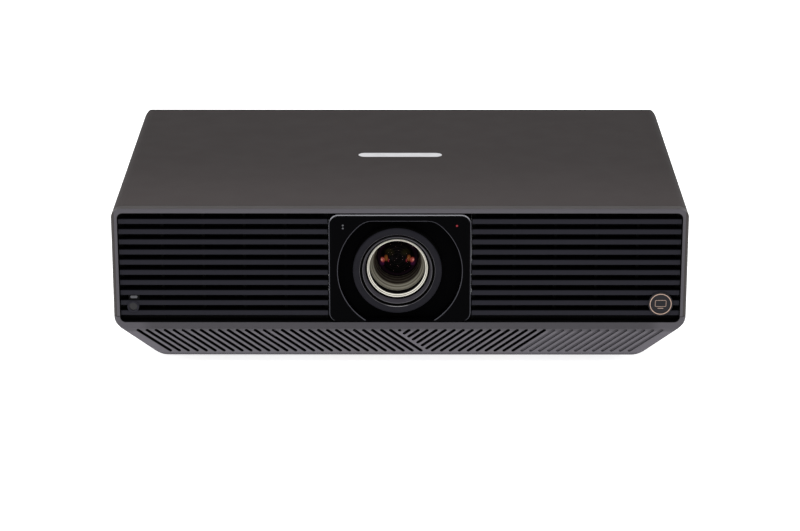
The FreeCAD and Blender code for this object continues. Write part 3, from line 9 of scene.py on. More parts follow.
import bmesh
import bpy
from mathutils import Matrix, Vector

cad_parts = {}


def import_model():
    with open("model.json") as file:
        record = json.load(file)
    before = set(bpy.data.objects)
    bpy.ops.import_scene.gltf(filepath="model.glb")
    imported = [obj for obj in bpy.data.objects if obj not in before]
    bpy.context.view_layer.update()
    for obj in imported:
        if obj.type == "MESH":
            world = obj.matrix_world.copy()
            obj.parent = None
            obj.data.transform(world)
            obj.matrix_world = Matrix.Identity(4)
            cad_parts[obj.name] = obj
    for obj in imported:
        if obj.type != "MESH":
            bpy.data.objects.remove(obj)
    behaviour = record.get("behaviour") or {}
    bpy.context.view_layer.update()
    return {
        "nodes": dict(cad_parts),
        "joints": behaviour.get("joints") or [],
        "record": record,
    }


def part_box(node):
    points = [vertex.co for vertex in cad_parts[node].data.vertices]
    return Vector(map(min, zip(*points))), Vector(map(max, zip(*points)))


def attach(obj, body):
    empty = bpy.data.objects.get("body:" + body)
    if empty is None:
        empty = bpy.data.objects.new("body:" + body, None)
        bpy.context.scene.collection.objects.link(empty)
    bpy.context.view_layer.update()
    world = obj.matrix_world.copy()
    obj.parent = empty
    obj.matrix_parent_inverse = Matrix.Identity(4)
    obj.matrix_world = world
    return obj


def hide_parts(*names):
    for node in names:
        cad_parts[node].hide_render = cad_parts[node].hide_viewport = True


MM = 0.001
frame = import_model()
nodes = frame["nodes"]


def joint(name):
    return next(item for item in frame["joints"] if item["name"] == name)


def half_width(node):
    """Half of a node's width: its outer radius, if it is round about the lens axis."""
    low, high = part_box(node)
    return (high.x - low.x) / 2


# Places that everything else is measured from
panel_low, panel_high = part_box("lens_panel")
AXIS_X = joint("focus_turn")["pos_m"][0]
AXIS_Z = joint("focus_turn")["pos_m"][2]
HOOD_RADIUS = half_width("lens_hood")
CASE_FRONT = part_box("front_bezel")[0].y
CASE_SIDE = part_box("top_cover")[1].x

# The lower case: heights where its front and side start to slant, and how far each leans in
RIDGE_Z = 33.2 * MM
HIP_Z = 38.6 * MM
FRONT_SLOPE = math.radians(25.0)
SIDE_SLOPE = math.radians(48.3)

# Slots of the slanted panel: sideways run per length, first blind slot, and the height of the ribs
SLOT_LEAN = 1.07
BLIND_START = 114.6 * MM
RIBS_LOW = 9 * MM
RIBS_HIGH = 31 * MM
OPENING_LAP = 1.3 * MM

# Lens: width of the retaining ring, depth of the cell's threaded mouth, and radii of its inner rings
RETAINER_WIDTH = 2.1 * MM
CELL_MOUTH = 8.6 * MM
SHOULDER = 18.1 * MM
INNER_RIM = 16.0 * MM

# Colours and shares used by more than one part of a material
FRAME_COLOUR = (0.053, 0.050, 0.057)
COVER_COLOUR = (0.0275, 0.0236, 0.0234)
# Painted light: how much lighter the cover's colour gets towards the front
COVER_PAINTED_LIGHT_GAIN = 1.32
# Painted highlight on the ribs between the slots: its colour and share
RIB_HIGHLIGHT_COLOUR = (0.098, 0.092, 0.105)
RIB_HIGHLIGHT_SHARE = 0.6
STRIP_SHADE = 0.35
BLIND_SHADE = 0.35
SHADOW = (0.0012, 0.0012, 0.0014)
PANEL_BLACK = (0.0005, 0.0005, 0.0007)

# Colour sockets of the Mix node, which has one set of sockets for each kind of data
MIX_FIRST, MIX_SECOND, MIX_RESULT = 6, 7, 2

# Edges sharper than this many degrees are left sharp
SHARP_ANGLE = 35.0

# Camera, fitted to the outline in the photograph: lens and sensor in mm, place in metres, turns in degrees
CAMERA_LENS = 120.985
CAMERA_SENSOR = 36
CAMERA_PLACE = (0.00366, -2.04648, 0.71623)
CAMERA_DOWN = 18.419
CAMERA_ROLL = 0.012
CAMERA_PAN = 0.104

FLOOR_SIZE = 6.0
FLOOR_DROP = 0.2 * MM

# Painted glints standing in for reflections in the lens coating, each side of the lens axis: reach, rise,
# half width and half height in mm, and tint
PAINTED_GLINTS = (
    (6.0, 4.6, 4.6, 3.4, (0.008, 0.008, 0.002)),
    (11.6, -4.4, 2.2, 3.0, (0.050, 0.009, 0.043)),
    (8.6, -0.2, 1.8, 3.2, (0.230, 0.075, 0.018)),
    (11.2, -1.9, 2.0, 2.6, (0.520, 0.090, 0.075)),
    (12.0, -2.0, 0.8, 1.2, (0.850, 0.420, 0.300)),
    (6.8, -1.9, 0.6, 1.7, (0.300, 0.030, 0.050)),
)


# ---------------------------------------------------------------- material building blocks

def new_material(name, colour, roughness, **sockets):
    """A Principled material; sockets are given by name with underscores for spaces."""
    material = bpy.data.materials.new(name)
    material.use_nodes = True
    shader = material.node_tree.nodes["Principled BSDF"]
    shader.inputs["Base Color"].default_value = (*colour, 1)
    shader.inputs["Roughness"].default_value = roughness
    for key, value in sockets.items():
        shader.inputs[key.replace("_", " ")].default_value = value
    return material


def shader_of(material):
    return material.node_tree.nodes["Principled BSDF"]


def link(material, output, node, socket):
    material.node_tree.links.new(output, node.inputs[socket])


def coordinates(material):
    return material.node_tree.nodes.new("ShaderNodeTexCoord").outputs["Object"]


def maths(material, operation, first, second=0.0, third=0.0):
    node = material.node_tree.nodes.new("ShaderNodeMath")
    node.operation = operation
    for index, value in enumerate((first, second, third)):
        if isinstance(value, (int, float)):
            node.inputs[index].default_value = value
        else:
            material.node_tree.links.new(value, node.inputs[index])
    return node.outputs[0]


def product(material, first, *others):
    """Product of several values."""
    for other in others:
        first = maths(material, "MULTIPLY", first, other)
    return first


def ramp(material, value, start, end, low=0.0, high=1.0):
    """Smooth step of value from start to end, giving low to high."""
    node = material.node_tree.nodes.new("ShaderNodeMapRange")
    node.interpolation_type = "SMOOTHSTEP"
    link(material, value, node, "Value")
    for socket, number in zip(("From Min", "From Max", "To Min", "To Max"), (start, end, low, high)):
        node.inputs[socket].default_value = number
    return node.outputs["Result"]


def noise(material, size, detail=3.0, stretch=(1, 1, 1)):
    """Noise with blobs about size metres across, stretched along each axis."""
    mapping = material.node_tree.nodes.new("ShaderNodeMapping")
    mapping.inputs["Scale"].default_value = [1 / part for part in stretch]
    texture = material.node_tree.nodes.new("ShaderNodeTexNoise")
    texture.inputs["Scale"].default_value = 1 / size
    texture.inputs["Detail"].default_value = detail
    link(material, coordinates(material), mapping, "Vector")
    link(material, mapping.outputs["Vector"], texture, "Vector")
    return texture.outputs["Fac"]


def mix_colours(material, factor, first, second):
    """Mixes two colours, each a tuple or the output of another node."""
    node = material.node_tree.nodes.new("ShaderNodeMix")
    node.data_type = "RGBA"
    link(material, factor, node, "Factor")
    for socket, colour in ((node.inputs[MIX_FIRST], first), (node.inputs[MIX_SECOND], second)):
        if isinstance(colour, tuple):
            socket.default_value = (*colour, 1)
        else:
            material.node_tree.links.new(colour, socket)
    return node.outputs[MIX_RESULT]


def scaled(colour, factor):
    return tuple(part * factor for part in colour)


def vary_colour(material, colour, spread, size):
    """Cloudy variation of the base colour, spread either side of it."""
    factor = ramp(material, noise(material, size), 0.3, 0.7)
    output = mix_colours(material, factor, scaled(colour, 1 - spread), scaled(colour, 1 + spread))
    link(material, output, shader_of(material), "Base Color")


def vary_roughness(material, low, high, size, stretch=(1, 1, 1)):
    """Cloudy variation of the roughness from low to high."""
    output = ramp(material, noise(material, size, stretch=stretch), 0.3, 0.7, low, high)
    link(material, output, shader_of(material), "Roughness")


def add_bump(material, height, distance, strength=1.0):
    node = material.node_tree.nodes.new("ShaderNodeBump")
    node.inputs["Distance"].default_value = distance
    node.inputs["Strength"].default_value = strength
    link(material, height, node, "Height")
    link(material, node.outputs["Normal"], shader_of(material), "Normal")


def axis_value(material, axis):
    """One object coordinate, in metres."""
    split = material.node_tree.nodes.new("ShaderNodeSeparateXYZ")
    link(material, coordinates(material), split, "Vector")
    return split.outputs["XYZ".index(axis)]


def facing(material, axis):
    """One component of the surface's own direction."""
    geometry = material.node_tree.nodes.new("ShaderNodeNewGeometry")
    split = material.node_tree.nodes.new("ShaderNodeSeparateXYZ")
    link(material, geometry.outputs["True Normal"], split, "Vector")
    return split.outputs["XYZ".index(axis)]


def lens_radius(material):
    """Distance of the surface point from the lens axis."""
    dx = maths(material, "SUBTRACT", axis_value(material, "X"), AXIS_X)
    dz = maths(material, "SUBTRACT", axis_value(material, "Z"), AXIS_Z)
    squares = maths(material, "ADD", maths(material, "POWER", dx, 2.0), maths(material, "POWER", dz, 2.0))
    return maths(material, "SQRT", squares)


def waves_along(material, value, pitch):
    """Sine wave of a value, repeating every pitch metres."""
    return maths(material, "SINE", maths(material, "MULTIPLY", value, math.tau / pitch))


# ---------------------------------------------------------------- plastics and metals

def moulded_plastic(name, colour, roughness=0.5, depth=0.008 * MM, specular=0.12):
    """Moulded plastic with an eroded grain, slight flow marks and uneven gloss."""
    grain = 0.45 * MM
    material = new_material(name, colour, roughness, Specular_IOR_Level=specular)
    vary_colour(material, colour, 0.015, 70 * MM)
    vary_roughness(material, roughness - 0.015, roughness + 0.02, 25 * MM)
    add_bump(material, noise(material, grain, detail=2.0), depth)
    return material


def blend_towards(material, share, colour=SHADOW):
    """Blends the surface's present colour towards another one, by share."""
    source = shader_of(material).inputs["Base Color"].links[0].from_socket
    output = mix_colours(material, share, source, colour)
    link(material, output, shader_of(material), "Base Color")


def between(material, value, low, high, soft=0.2 * MM):
    """1 where value lies between low and high, falling to 0 over soft."""
    rise = ramp(material, value, low, low + soft)
    fall = ramp(material, value, high - soft, high, 1.0, 0.0)
    return maths(material, "MULTIPLY", rise, fall)


def cover_plastic():
    """Satin brown-grey plastic, with painted light that makes it a little lighter towards the front."""
    material = moulded_plastic("cover_plastic", COVER_COLOUR, 0.6, depth=0.004 * MM, specular=0.03)
    # Painted light, rising towards the front
    painted_light_share = ramp(material, axis_value(material, "Y"), 0.0, CASE_FRONT)
    blend_towards(material, painted_light_share, scaled(COVER_COLOUR, COVER_PAINTED_LIGHT_GAIN))
    return material


def lit_edge():
    """Polished edge of the hood's rings, painted lighter as a highlight, most of all at the bottom where it
    faces upward.
    """
    material = new_material("edge_grey", (0.07, 0.07, 0.075), 0.35, Metallic=0.2, Specular_IOR_Level=0.2)
    # Painted highlight, strongest low on the rings
    low = ramp(material, axis_value(material, "Z"), AXIS_Z - 26.5 * MM, AXIS_Z - 28 * MM)
    output = mix_colours(material, low, (0.070, 0.068, 0.074), (0.260, 0.255, 0.260))
    link(material, output, shader_of(material), "Base Color")
    vary_roughness(material, 0.3, 0.42, 0.8 * MM)
    return material


def bezel_share(material, y, z):
    """1 on the bezel behind its front edge, which takes the cover's colour."""
    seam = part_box("front_bezel")[0].z
    behind_edge = ramp(material, y, CASE_FRONT + 0.8 * MM, CASE_FRONT + 1.1 * MM)
    above_seam = ramp(material, z, seam - 0.1 * MM, seam)
    return product(material, behind_edge, above_seam)


def strip_share(material, x, y, z):
    """Shadow on the strip under the louvre opening, ending before the sides."""
    level = between(material, z, RIDGE_Z - 1.5 * MM, RIDGE_Z + 6 * MM, 1.2 * MM)
    on_front = ramp(material, y, CASE_FRONT + 0.2 * MM, CASE_FRONT + 1 * MM, 1.0, 0.0)
    inward = ramp(material, x, CASE_SIDE - 30 * MM, CASE_SIDE - 18 * MM, 1.0, 0.0)
    return product(material, level, on_front, inward, STRIP_SHADE)


def rib_highlight_share(material, z):
    """Painted highlight on the ribs between the slots, only on faces that look forward."""
    level = between(material, z, RIBS_LOW, RIBS_HIGH, 1.5 * MM)
    forward = ramp(material, facing(material, "Y"), -0.6, -0.85)
    return product(material, level, forward, RIB_HIGHLIGHT_SHARE)


def reveal_shade_share(material, x, y, z):
    """Painted shade on the edges of the louvre opening, behind the frame's face: 1 there."""
    low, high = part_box("left_louvres")
    sideways = between(material, x, -1.0, -low.x - OPENING_LAP + 0.4 * MM)
    level = between(material, z, low.z + OPENING_LAP - 0.4 * MM, high.z)
    behind_face = ramp(material, y, CASE_FRONT + 0.3 * MM, CASE_FRONT + 0.9 * MM)
    return product(material, sideways, level, behind_face)


def slot_share(material, x, y, z):
    """Shadow inside the slots by their depth: full in the open ones, less in the blind ones."""
    below_ridge = maths(material, "SUBTRACT", RIDGE_Z, z)
    behind = product(material, maths(material, "SUBTRACT", y, CASE_FRONT), math.cos(FRONT_SLOPE))
    depth = maths(material, "SUBTRACT", behind, product(material, below_ridge, math.sin(FRONT_SLOPE)))
    deep = between(material, depth, 0.15 * MM, 4.2 * MM, 0.35 * MM)
    level = between(material, z, 8 * MM, RIDGE_Z - 1 * MM)
    fall = product(material, maths(material, "SUBTRACT", HIP_Z, z), math.tan(SIDE_SLOPE))
    room = maths(material, "SUBTRACT", CASE_SIDE, x)
    clear_of_side = ramp(material, maths(material, "SUBTRACT", room, fall), 4 * MM, 5 * MM)
    down_slope = maths(material, "DIVIDE", below_ridge, math.cos(FRONT_SLOPE))
    slot_start = maths(material, "MULTIPLY_ADD", down_slope, SLOT_LEAN, axis_value(material, "X"))
    openness = ramp(material, slot_start, BLIND_START - MM, BLIND_START, 1.0, BLIND_SHADE)
    return product(material, deep, level, clear_of_side, openness)


def frame_plastic():
    """Plastic of the bezel and the lower case, with painted shade and painted highlights by place."""
    material = moulded_plastic("frame_plastic", FRAME_COLOUR, 0.5)
    x = maths(material, "ABSOLUTE", axis_value(material, "X"))
    y = axis_value(material, "Y")
    z = axis_value(material, "Z")
    blend_towards(material, bezel_share(material, y, z), COVER_COLOUR)
    blend_towards(material, strip_share(material, x, y, z))
    # Painted highlight on the ribs
    blend_towards(material, rib_highlight_share(material, z), RIB_HIGHLIGHT_COLOUR)
    # Painted shade on the edges of the louvre opening
    blend_towards(material, reveal_shade_share(material, x, y, z))
    blend_towards(material, slot_share(material, x, y, z))
    return material


def drawn_metal(name, colour, roughness=0.32, stretch=(40, 1, 1)):
    """Metal with fine lines along one axis."""
    grain = 0.25 * MM
    material = new_material(name, colour, roughness, Metallic=1.0)
    vary_colour(material, colour, 0.06, 12 * MM)
    vary_roughness(material, roughness - 0.08, roughness + 0.1, grain, stretch)
    add_bump(material, noise(material, grain, stretch=stretch), 0.006 * MM)
    return material


def turned_metal(name, colour, roughness, metallic=1.0, specular=0.5):
    """Machined finish with fine rings about the lens axis."""
    material = new_material(name, colour, roughness, Metallic=metallic, Specular_IOR_Level=specular)
    rings = waves_along(material, lens_radius(material), 0.35 * MM)
    uneven = noise(material, 1.5 * MM)
    height = maths(material, "ADD", rings, maths(material, "MULTIPLY", uneven, 0.8))
    vary_colour(material, colour, 0.06, 5 * MM)
    vary_roughness(material, roughness - 0.05, roughness + 0.07, 0.8 * MM)
    add_bump(material, height, 0.004 * MM)
    return material


def ringed_metal(name, light, dark, pitch, roughness, metallic=0.0, specular=0.1):
    """Machined finish whose broader rings alternate between a light and a dark colour."""
    material = turned_metal(name, light, roughness, metallic, specular)
    waves = waves_along(material, lens_radius(material), pitch)
    output = mix_colours(material, ramp(material, waves, -0.5, 0.7), dark, light)
    link(material, output, shader_of(material), "Base Color")
    return material


def slat_plastic():
    """Charcoal plastic whose colour falls off behind the slat fronts, where light doesn't reach."""
    material = moulded_plastic("slat_plastic", (0.0120, 0.0117, 0.0158), 0.5, specular=0.04)
    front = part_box("left_louvres")[0].y
    blend_towards(material, ramp(material, axis_value(material, "Y"), front + 0.35 * MM, front + 1.6 * MM))
    return material


def gloss_panel():
    """Piano-black panel with painted highlights on its chamfers, strongest on upward faces near the top,
    but for the bottom flat.
    """
    material = new_material("gloss_panel", PANEL_BLACK, 0.09, Specular_IOR_Level=0.01)
    front = panel_low.y
    height = axis_value(material, "Z")
    edge = ramp(material, facing(material, "Y"), -0.97, -0.85)
    near = ramp(material, axis_value(material, "Y"), front + 0.75 * MM, front + 0.85 * MM, 1.0, 0.0)
    above_flat = ramp(material, height, panel_low.z + 2.5 * MM, panel_low.z + 3 * MM)
    # Painted highlight on the chamfers
    chamfer_highlight = product(material, edge, near, above_flat)
    near_top = ramp(material, height, panel_high.z - 9 * MM, panel_high.z - 5 * MM)
    # Painted highlight, stronger on upward faces near the top
    upward = product(material, ramp(material, facing(material, "Z"), 0.1, 0.6), near_top)
    tint = mix_colours(material, noise(material, 14 * MM), (0.030, 0.030, 0.036), (0.052, 0.052, 0.060))
    tint = mix_colours(material, upward, tint, (0.19, 0.19, 0.205))
    output = mix_colours(material, chamfer_highlight, PANEL_BLACK, tint)
    link(material, output, shader_of(material), "Base Color")
    vary_roughness(material, 0.07, 0.13, 20 * MM)
    add_bump(material, noise(material, 9 * MM, detail=1.0), 0.01 * MM, 0.25)
    return material


def woven_mesh():
    """Black dust screen: crossed threads from two waves."""
    material = new_material("screen_mesh", (0.002, 0.002, 0.002), 0.8, Specular_IOR_Level=0.05)
    pitch = 0.9 * MM
    across = waves_along(material, axis_value(material, "X"), pitch)
    along = waves_along(material, axis_value(material, "Z"), pitch)
    weave = maths(material, "MAXIMUM", across, along)
    threads = ramp(material, weave, 0.2, 0.9)
    output = mix_colours(material, threads, (0.0005, 0.0005, 0.0005), (0.003, 0.003, 0.003))
    link(material, output, shader_of(material), "Base Color")
    add_bump(material, weave, 0.1 * MM)
    return material


def coated_glass(name, tint, share):
    """Clear glass with a tinted coating, which mirrors by the angle of view times share."""
    material = bpy.data.materials.new(name)
    material.use_nodes = True
    tree = material.node_tree
    tree.nodes.remove(tree.nodes["Principled BSDF"])
    clear = tree.nodes.new("ShaderNodeBsdfTransparent")
    mirror = tree.nodes.new("ShaderNodeBsdfGlossy")
    weight = tree.nodes.new("ShaderNodeLayerWeight")
    blend = tree.nodes.new("ShaderNodeMixShader")
    weight.inputs["Blend"].default_value = 0.25
    clear.inputs["Color"].default_value = (0.90, 0.88, 0.88, 1)
    mirror.inputs["Roughness"].default_value = 0.01
    cloud = mix_colours(material, noise(material, 6 * MM), scaled(tint, 0.85), tint)
    link(material, cloud, mirror, "Color")
    factor = maths(material, "MULTIPLY", weight.outputs["Fresnel"], share)
    link(material, factor, blend, 0)
    link(material, clear.outputs[0], blend, 1)
    link(material, mirror.outputs[0], blend, 2)
    link(material, blend.outputs[0], tree.nodes["Material Output"], "Surface")
    return material


def glint(material, x, z, width, height):
    """A soft oval spot about (x, z), 1 in the middle."""
    across = maths(material, "DIVIDE", maths(material, "SUBTRACT", axis_value(material, "X"), x), width)
    upward = maths(material, "DIVIDE", maths(material, "SUBTRACT", axis_value(material, "Z"), z), height)
    squares = [maths(material, "POWER", part, 2.0) for part in (across, upward)]
    return ramp(material, maths(material, "ADD", *squares), 0.0, 1.0, 1.0, 0.0)


def inner_element():
    """Dark inner element with painted reflections that also glow: faint rings, a purplish halo, and warm
    and magenta glints standing in for reflections in its coating at either side.
    """
    base = (0.0009, 0.0008, 0.0008)
    # The painted reflections feed the emission too, so that they glow
    material = new_material("inner_element", base, 0.25, Specular_IOR_Level=0.02, Emission_Strength=0.5)
    radius = lens_radius(material)
    waves = waves_along(material, radius, 1.9 * MM)
    rings = ramp(material, waves, 0.6, 1.0)
    fine = maths(material, "MULTIPLY", rings, between(material, radius, 2.4 * MM, 12.0 * MM, 1.5 * MM))
    colour = mix_colours(material, fine, base, (0.0055, 0.0052, 0.0052))
    # Painted reflection: a purplish halo round the dark middle
    reflection_halo = between(material, radius, 12.2 * MM, 15.7 * MM, 1.2 * MM)
    colour = mix_colours(material, maths(material, "MULTIPLY", reflection_halo, 0.7), colour, (0.0085, 0.0035, 0.0075))
    broken = maths(material, "MULTIPLY_ADD", rings, 0.35, 0.65)
    # Painted glints on either side of the axis
    for side in (-1, 1):
        for reach, rise, width, height, tint in PAINTED_GLINTS:
            spot = glint(material, AXIS_X + side * reach * MM, AXIS_Z + rise * MM, width * MM, height * MM)
            colour = mix_colours(material, maths(material, "MULTIPLY", spot, broken), colour, tint)
    link(material, colour, shader_of(material), "Base Color")
    link(material, colour, shader_of(material), "Emission Color")
    return material


def board_material():
    """Green solder mask with faint copper runs under it."""
    material = new_material("board_green", (0.02, 0.12, 0.05), 0.4)
    runs = maths(material, "ADD", noise(material, 2.2 * MM, stretch=(6, 1, 1)),
                 noise(material, 2.2 * MM, stretch=(1, 6, 1)))
    copper = ramp(material, runs, 0.98, 1.04)
    output = mix_colours(material, copper, (0.012, 0.085, 0.035), (0.03, 0.16, 0.07))
    link(material, output, shader_of(material), "Base Color")
    add_bump(material, runs, 0.02 * MM)
    return material


def soft_rubber(name, colour):
    """Matt rubber with a fine uneven skin."""
    material = new_material(name, colour, 0.8, Specular_IOR_Level=0.25)
    vary_colour(material, colour, 0.12, 4 * MM)
    vary_roughness(material, 0.72, 0.88, 2 * MM)
    add_bump(material, noise(material, 0.6 * MM), 0.04 * MM)
    return material


MATERIALS = {
    "cover_plastic": cover_plastic(),
    "frame_plastic": frame_plastic(),
    "slat_plastic": slat_plastic(),
    "screen_mesh": woven_mesh(),
    "gloss_panel": gloss_panel(),
    "mask_black": moulded_plastic("mask_black", (0.0010, 0.0010, 0.0012), 0.9, specular=0.01),
    "hood_black": turned_metal("hood_black", (0.0072, 0.0070, 0.0094), 0.5, metallic=0.0, specular=0.04),
    "bright_ring": ringed_metal("bright_ring", (0.86, 0.84, 0.76), (0.20, 0.19, 0.165), 1.055 * MM, 0.35,
                                metallic=0.35, specular=0.5),
    "cell_grey": ringed_metal("cell_grey", (0.215, 0.203, 0.165), (0.095, 0.088, 0.066), 1.15 * MM, 0.5),
    "cell_dim": ringed_metal("cell_dim", (0.092, 0.084, 0.066), (0.020, 0.015, 0.011), 0.72 * MM, 0.5),
    "lens_glass": coated_glass("lens_glass", (0.12, 0.066, 0.066), 0.15),
    "led_red": new_material("led_red", (0.16, 0.012, 0.018), 0.3, Specular_IOR_Level=0.1),
    "sensor_grey": moulded_plastic("sensor_grey", (0.055, 0.055, 0.06), 0.3),
    "ir_purple": moulded_plastic("ir_purple", (0.0016, 0.0010, 0.0024), 0.12, specular=0.25),
    "badge_grey": moulded_plastic("badge_grey", (0.0085, 0.0080, 0.0100), 0.35, specular=0.1),
    "rose_ring": drawn_metal("rose_ring", (0.30, 0.215, 0.175), 0.35),
    "silver_inlay": drawn_metal("silver_inlay", (0.66, 0.66, 0.68), 0.38),
    "rear_plastic": moulded_plastic("rear_plastic", (0.016, 0.016, 0.017), 0.55),
    "socket_metal": drawn_metal("socket_metal", (0.50, 0.50, 0.52), 0.3, stretch=(1, 30, 1)),
    "inlet_black": moulded_plastic("inlet_black", (0.007, 0.007, 0.007), 0.5),
    "key_grey": moulded_plastic("key_grey", (0.06, 0.06, 0.063), 0.4),
    "rubber": soft_rubber("rubber", (0.012, 0.012, 0.012)),
    "steel": drawn_metal("steel", (0.55, 0.55, 0.56), 0.28, stretch=(1, 1, 30)),
    "brass": drawn_metal("brass", (0.78, 0.57, 0.26), 0.3, stretch=(1, 1, 12)),
    "screw_black": drawn_metal("screw_black", (0.03, 0.03, 0.03), 0.42),
    "aluminium": drawn_metal("aluminium", (0.62, 0.63, 0.64), 0.42),
    "gear_plastic": moulded_plastic("gear_plastic", (0.62, 0.62, 0.58), 0.4),
    "motor_can": drawn_metal("motor_can", (0.45, 0.45, 0.46), 0.35, stretch=(1, 30, 1)),
    "fan_plastic": moulded_plastic("fan_plastic", (0.014, 0.014, 0.015), 0.5),
    "board_green": board_material(),
    "phosphor": moulded_plastic("phosphor", (0.75, 0.68, 0.12), 0.7),
    "inner_black": turned_metal("inner_black", (0.0015, 0.0015, 0.0015), 0.7, metallic=0.0, specular=0.02),
    "edge_grey": lit_edge(),
    "ring_grey": turned_metal("ring_grey", (0.030, 0.028, 0.034), 0.45, metallic=0.0, specular=0.1),
    "inner_element": inner_element(),
}

for entry in frame["record"]["subparts"]:
    node = nodes[entry["node"]]
    for material_slot in node.material_slots:
        material_slot.material = MATERIALS[entry["material_slot"]]


# ---------------------------------------------------------------- mesh building blocks

def piece(name, mesh, material, body):
    """Puts a finished mesh into the scene, shaded smooth but for its sharp edges."""
    mesh.materials.append(MATERIALS[material])
    for polygon in mesh.polygons:
        polygon.use_smooth = True
    mesh.set_sharp_from_angle(angle=math.radians(SHARP_ANGLE))
    made = bpy.data.objects.new(name, mesh)
    bpy.context.scene.collection.objects.link(made)
    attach(made, body)
    return made


def finish_mesh(name, build):
    """Turns a finished build into a mesh whose faces look outward."""
    mesh = bpy.data.meshes.new(name)
    bmesh.ops.recalc_face_normals(build, faces=build.faces)
    build.to_mesh(mesh)
    build.free()
    return mesh


def eased(profile, radius, steps=3):
    """Rounds each corner of a closed (radius, y) profile by a small arc."""
    points = []
    count = len(profile)
    for index, corner in enumerate(profile):
        here = Vector(corner)
        before = Vector(profile[index - 1]) - here
        after = Vector(profile[(index + 1) % count]) - here
        reach = min(radius, before.length * 0.45, after.length * 0.45)
        start = here + before.normalized() * reach
        end = here + after.normalized() * reach
        for step in range(steps + 1):
            share = step / steps
            points.append(start * (1 - share) ** 2 + here * (2 * share * (1 - share)) + end * share ** 2)
    return [(point.x, point.y) for point in points]


def lathe(name, profile, x, z, segments=160):
    """Closed (radius, y) profile in metres turned about the Y direction through (x, z)."""
    build = bmesh.new()
    rings = []
    for radius, y in profile:
        if radius < 1e-6:
            rings.append([build.verts.new((x, y, z))])
            continue
        ring = []
        for step in range(segments):
            turn = math.tau * step / segments
            ring.append(build.verts.new((x + radius * math.cos(turn), y, z + radius * math.sin(turn))))
        rings.append(ring)
    for index, ring in enumerate(rings):
        following = rings[(index + 1) % len(rings)]
        if len(ring) == 1 and len(following) == 1:
            continue
        for step in range(segments):
            after = (step + 1) % segments
            corners = [ring[step % len(ring)], ring[after % len(ring)],
                       following[after % len(following)], following[step % len(following)]]
            build.faces.new(list(dict.fromkeys(corners)))
    return finish_mesh(name, build)


def rounded_rectangle(width, height, radius, steps=8):
    """Points of a rounded rectangle about the origin, anticlockwise."""
    points = []
    for corner, (sign_u, sign_v) in enumerate(((1, 1), (-1, 1), (-1, -1), (1, -1))):
        for step in range(steps + 1):
            turn = math.pi / 2 * (corner + step / steps)
            points.append((sign_u * (width / 2 - radius) + radius * math.cos(turn),
                           sign_v * (height / 2 - radius) + radius * math.sin(turn)))
    return points


def band(name, outer, inner, y0, y1, centre):
    """Flat ring between two outlines of equally many points, in the XZ plane from y0 to y1."""
    build = bmesh.new()
    loops = []
    for outline, y in ((outer, y0), (outer, y1), (inner, y1), (inner, y0)):
        loops.append([build.verts.new((centre[0] + u, y, centre[1] + v)) for u, v in outline])
    count = len(outer)
    for index, loop in enumerate(loops):
        following = loops[(index + 1) % len(loops)]
        for step in range(count):
            after = (step + 1) % count
            build.faces.new((loop[step], loop[after], following[after], following[step]))
    return finish_mesh(name, build)


# ---------------------------------------------------------------- lens

def arc_profile(bulge, reach, y_front, steps=18):
    """Points of a dome from its rim to its middle, bulging towards -Y."""
    points = []
    for step in range(steps + 1):
        radius = reach * (1 - step / steps)
        points.append((radius, y_front + bulge - math.sqrt(bulge ** 2 - radius ** 2)))
    return points


def lens_piece(name, profile, ease, material, body, segments=192, steps=3):
    """Piece turned about the lens axis from a closed profile, its corners eased."""
    mesh = lathe(name, eased(profile, ease, steps), AXIS_X, AXIS_Z, segments)
    return piece(name, mesh, material, body)


def hood():
    """Barrel of the hood with three fine grooves, then its face and what lies inside its mouth."""
    low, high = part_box("lens_hood")
    front = low.y
    mouth = HOOD_RADIUS - 4.9 * MM
    lip = HOOD_RADIUS - 1.5 * MM
    groove_floor = HOOD_RADIUS - 0.3 * MM
    bore = half_width("focus_cell") + 0.3 * MM
    trough_end = front + 6.6 * MM
    profile = []
    for groove in range(3):
        y = front + (4 + groove * 1.1) * MM
        profile += [(HOOD_RADIUS, y), (groove_floor, y + 0.1 * MM)]
        profile += [(groove_floor, y + 0.5 * MM), (HOOD_RADIUS, y + 0.6 * MM)]
    profile += [(HOOD_RADIUS, high.y), (bore, high.y), (bore, trough_end), (mouth, trough_end)]
    profile += [(mouth, front + 2.0 * MM), (lip, front + 2.0 * MM)]
    profile += [(lip, front + 1.2 * MM), (HOOD_RADIUS, front + 1.2 * MM)]
    made = lens_piece("hood_barrel", profile, 0.05 * MM, "inner_black", "lens")
    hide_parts("lens_hood")
    hood_face(front, mouth, lip)
    hood_trough(front, mouth, bore)


def hood_face(front, mouth, lip):
    """Face ring with an eased outer rim, and the thin edge round its mouth, painted lighter as a highlight.
    """
    profile = [(HOOD_RADIUS - 0.8 * MM, front), (HOOD_RADIUS, front + 0.7 * MM)]
    profile += [(HOOD_RADIUS, front + 1.1 * MM), (lip, front + 1.1 * MM)]
    profile += [(lip, front + 1.9 * MM), (mouth, front + 1.9 * MM)]
    profile += [(mouth, front + 0.35 * MM), (mouth + 0.3 * MM, front)]
    lens_piece("hood_face", profile, 0.12 * MM, "hood_black", "lens")
    profile = [(mouth, front + 0.3 * MM), (mouth, front + 0.75 * MM)]
    profile += [(mouth - 0.28 * MM, front + 0.75 * MM), (mouth - 0.12 * MM, front + 0.35 * MM)]
    lens_piece("hood_edge", profile, 0.04 * MM, "edge_grey", "lens")


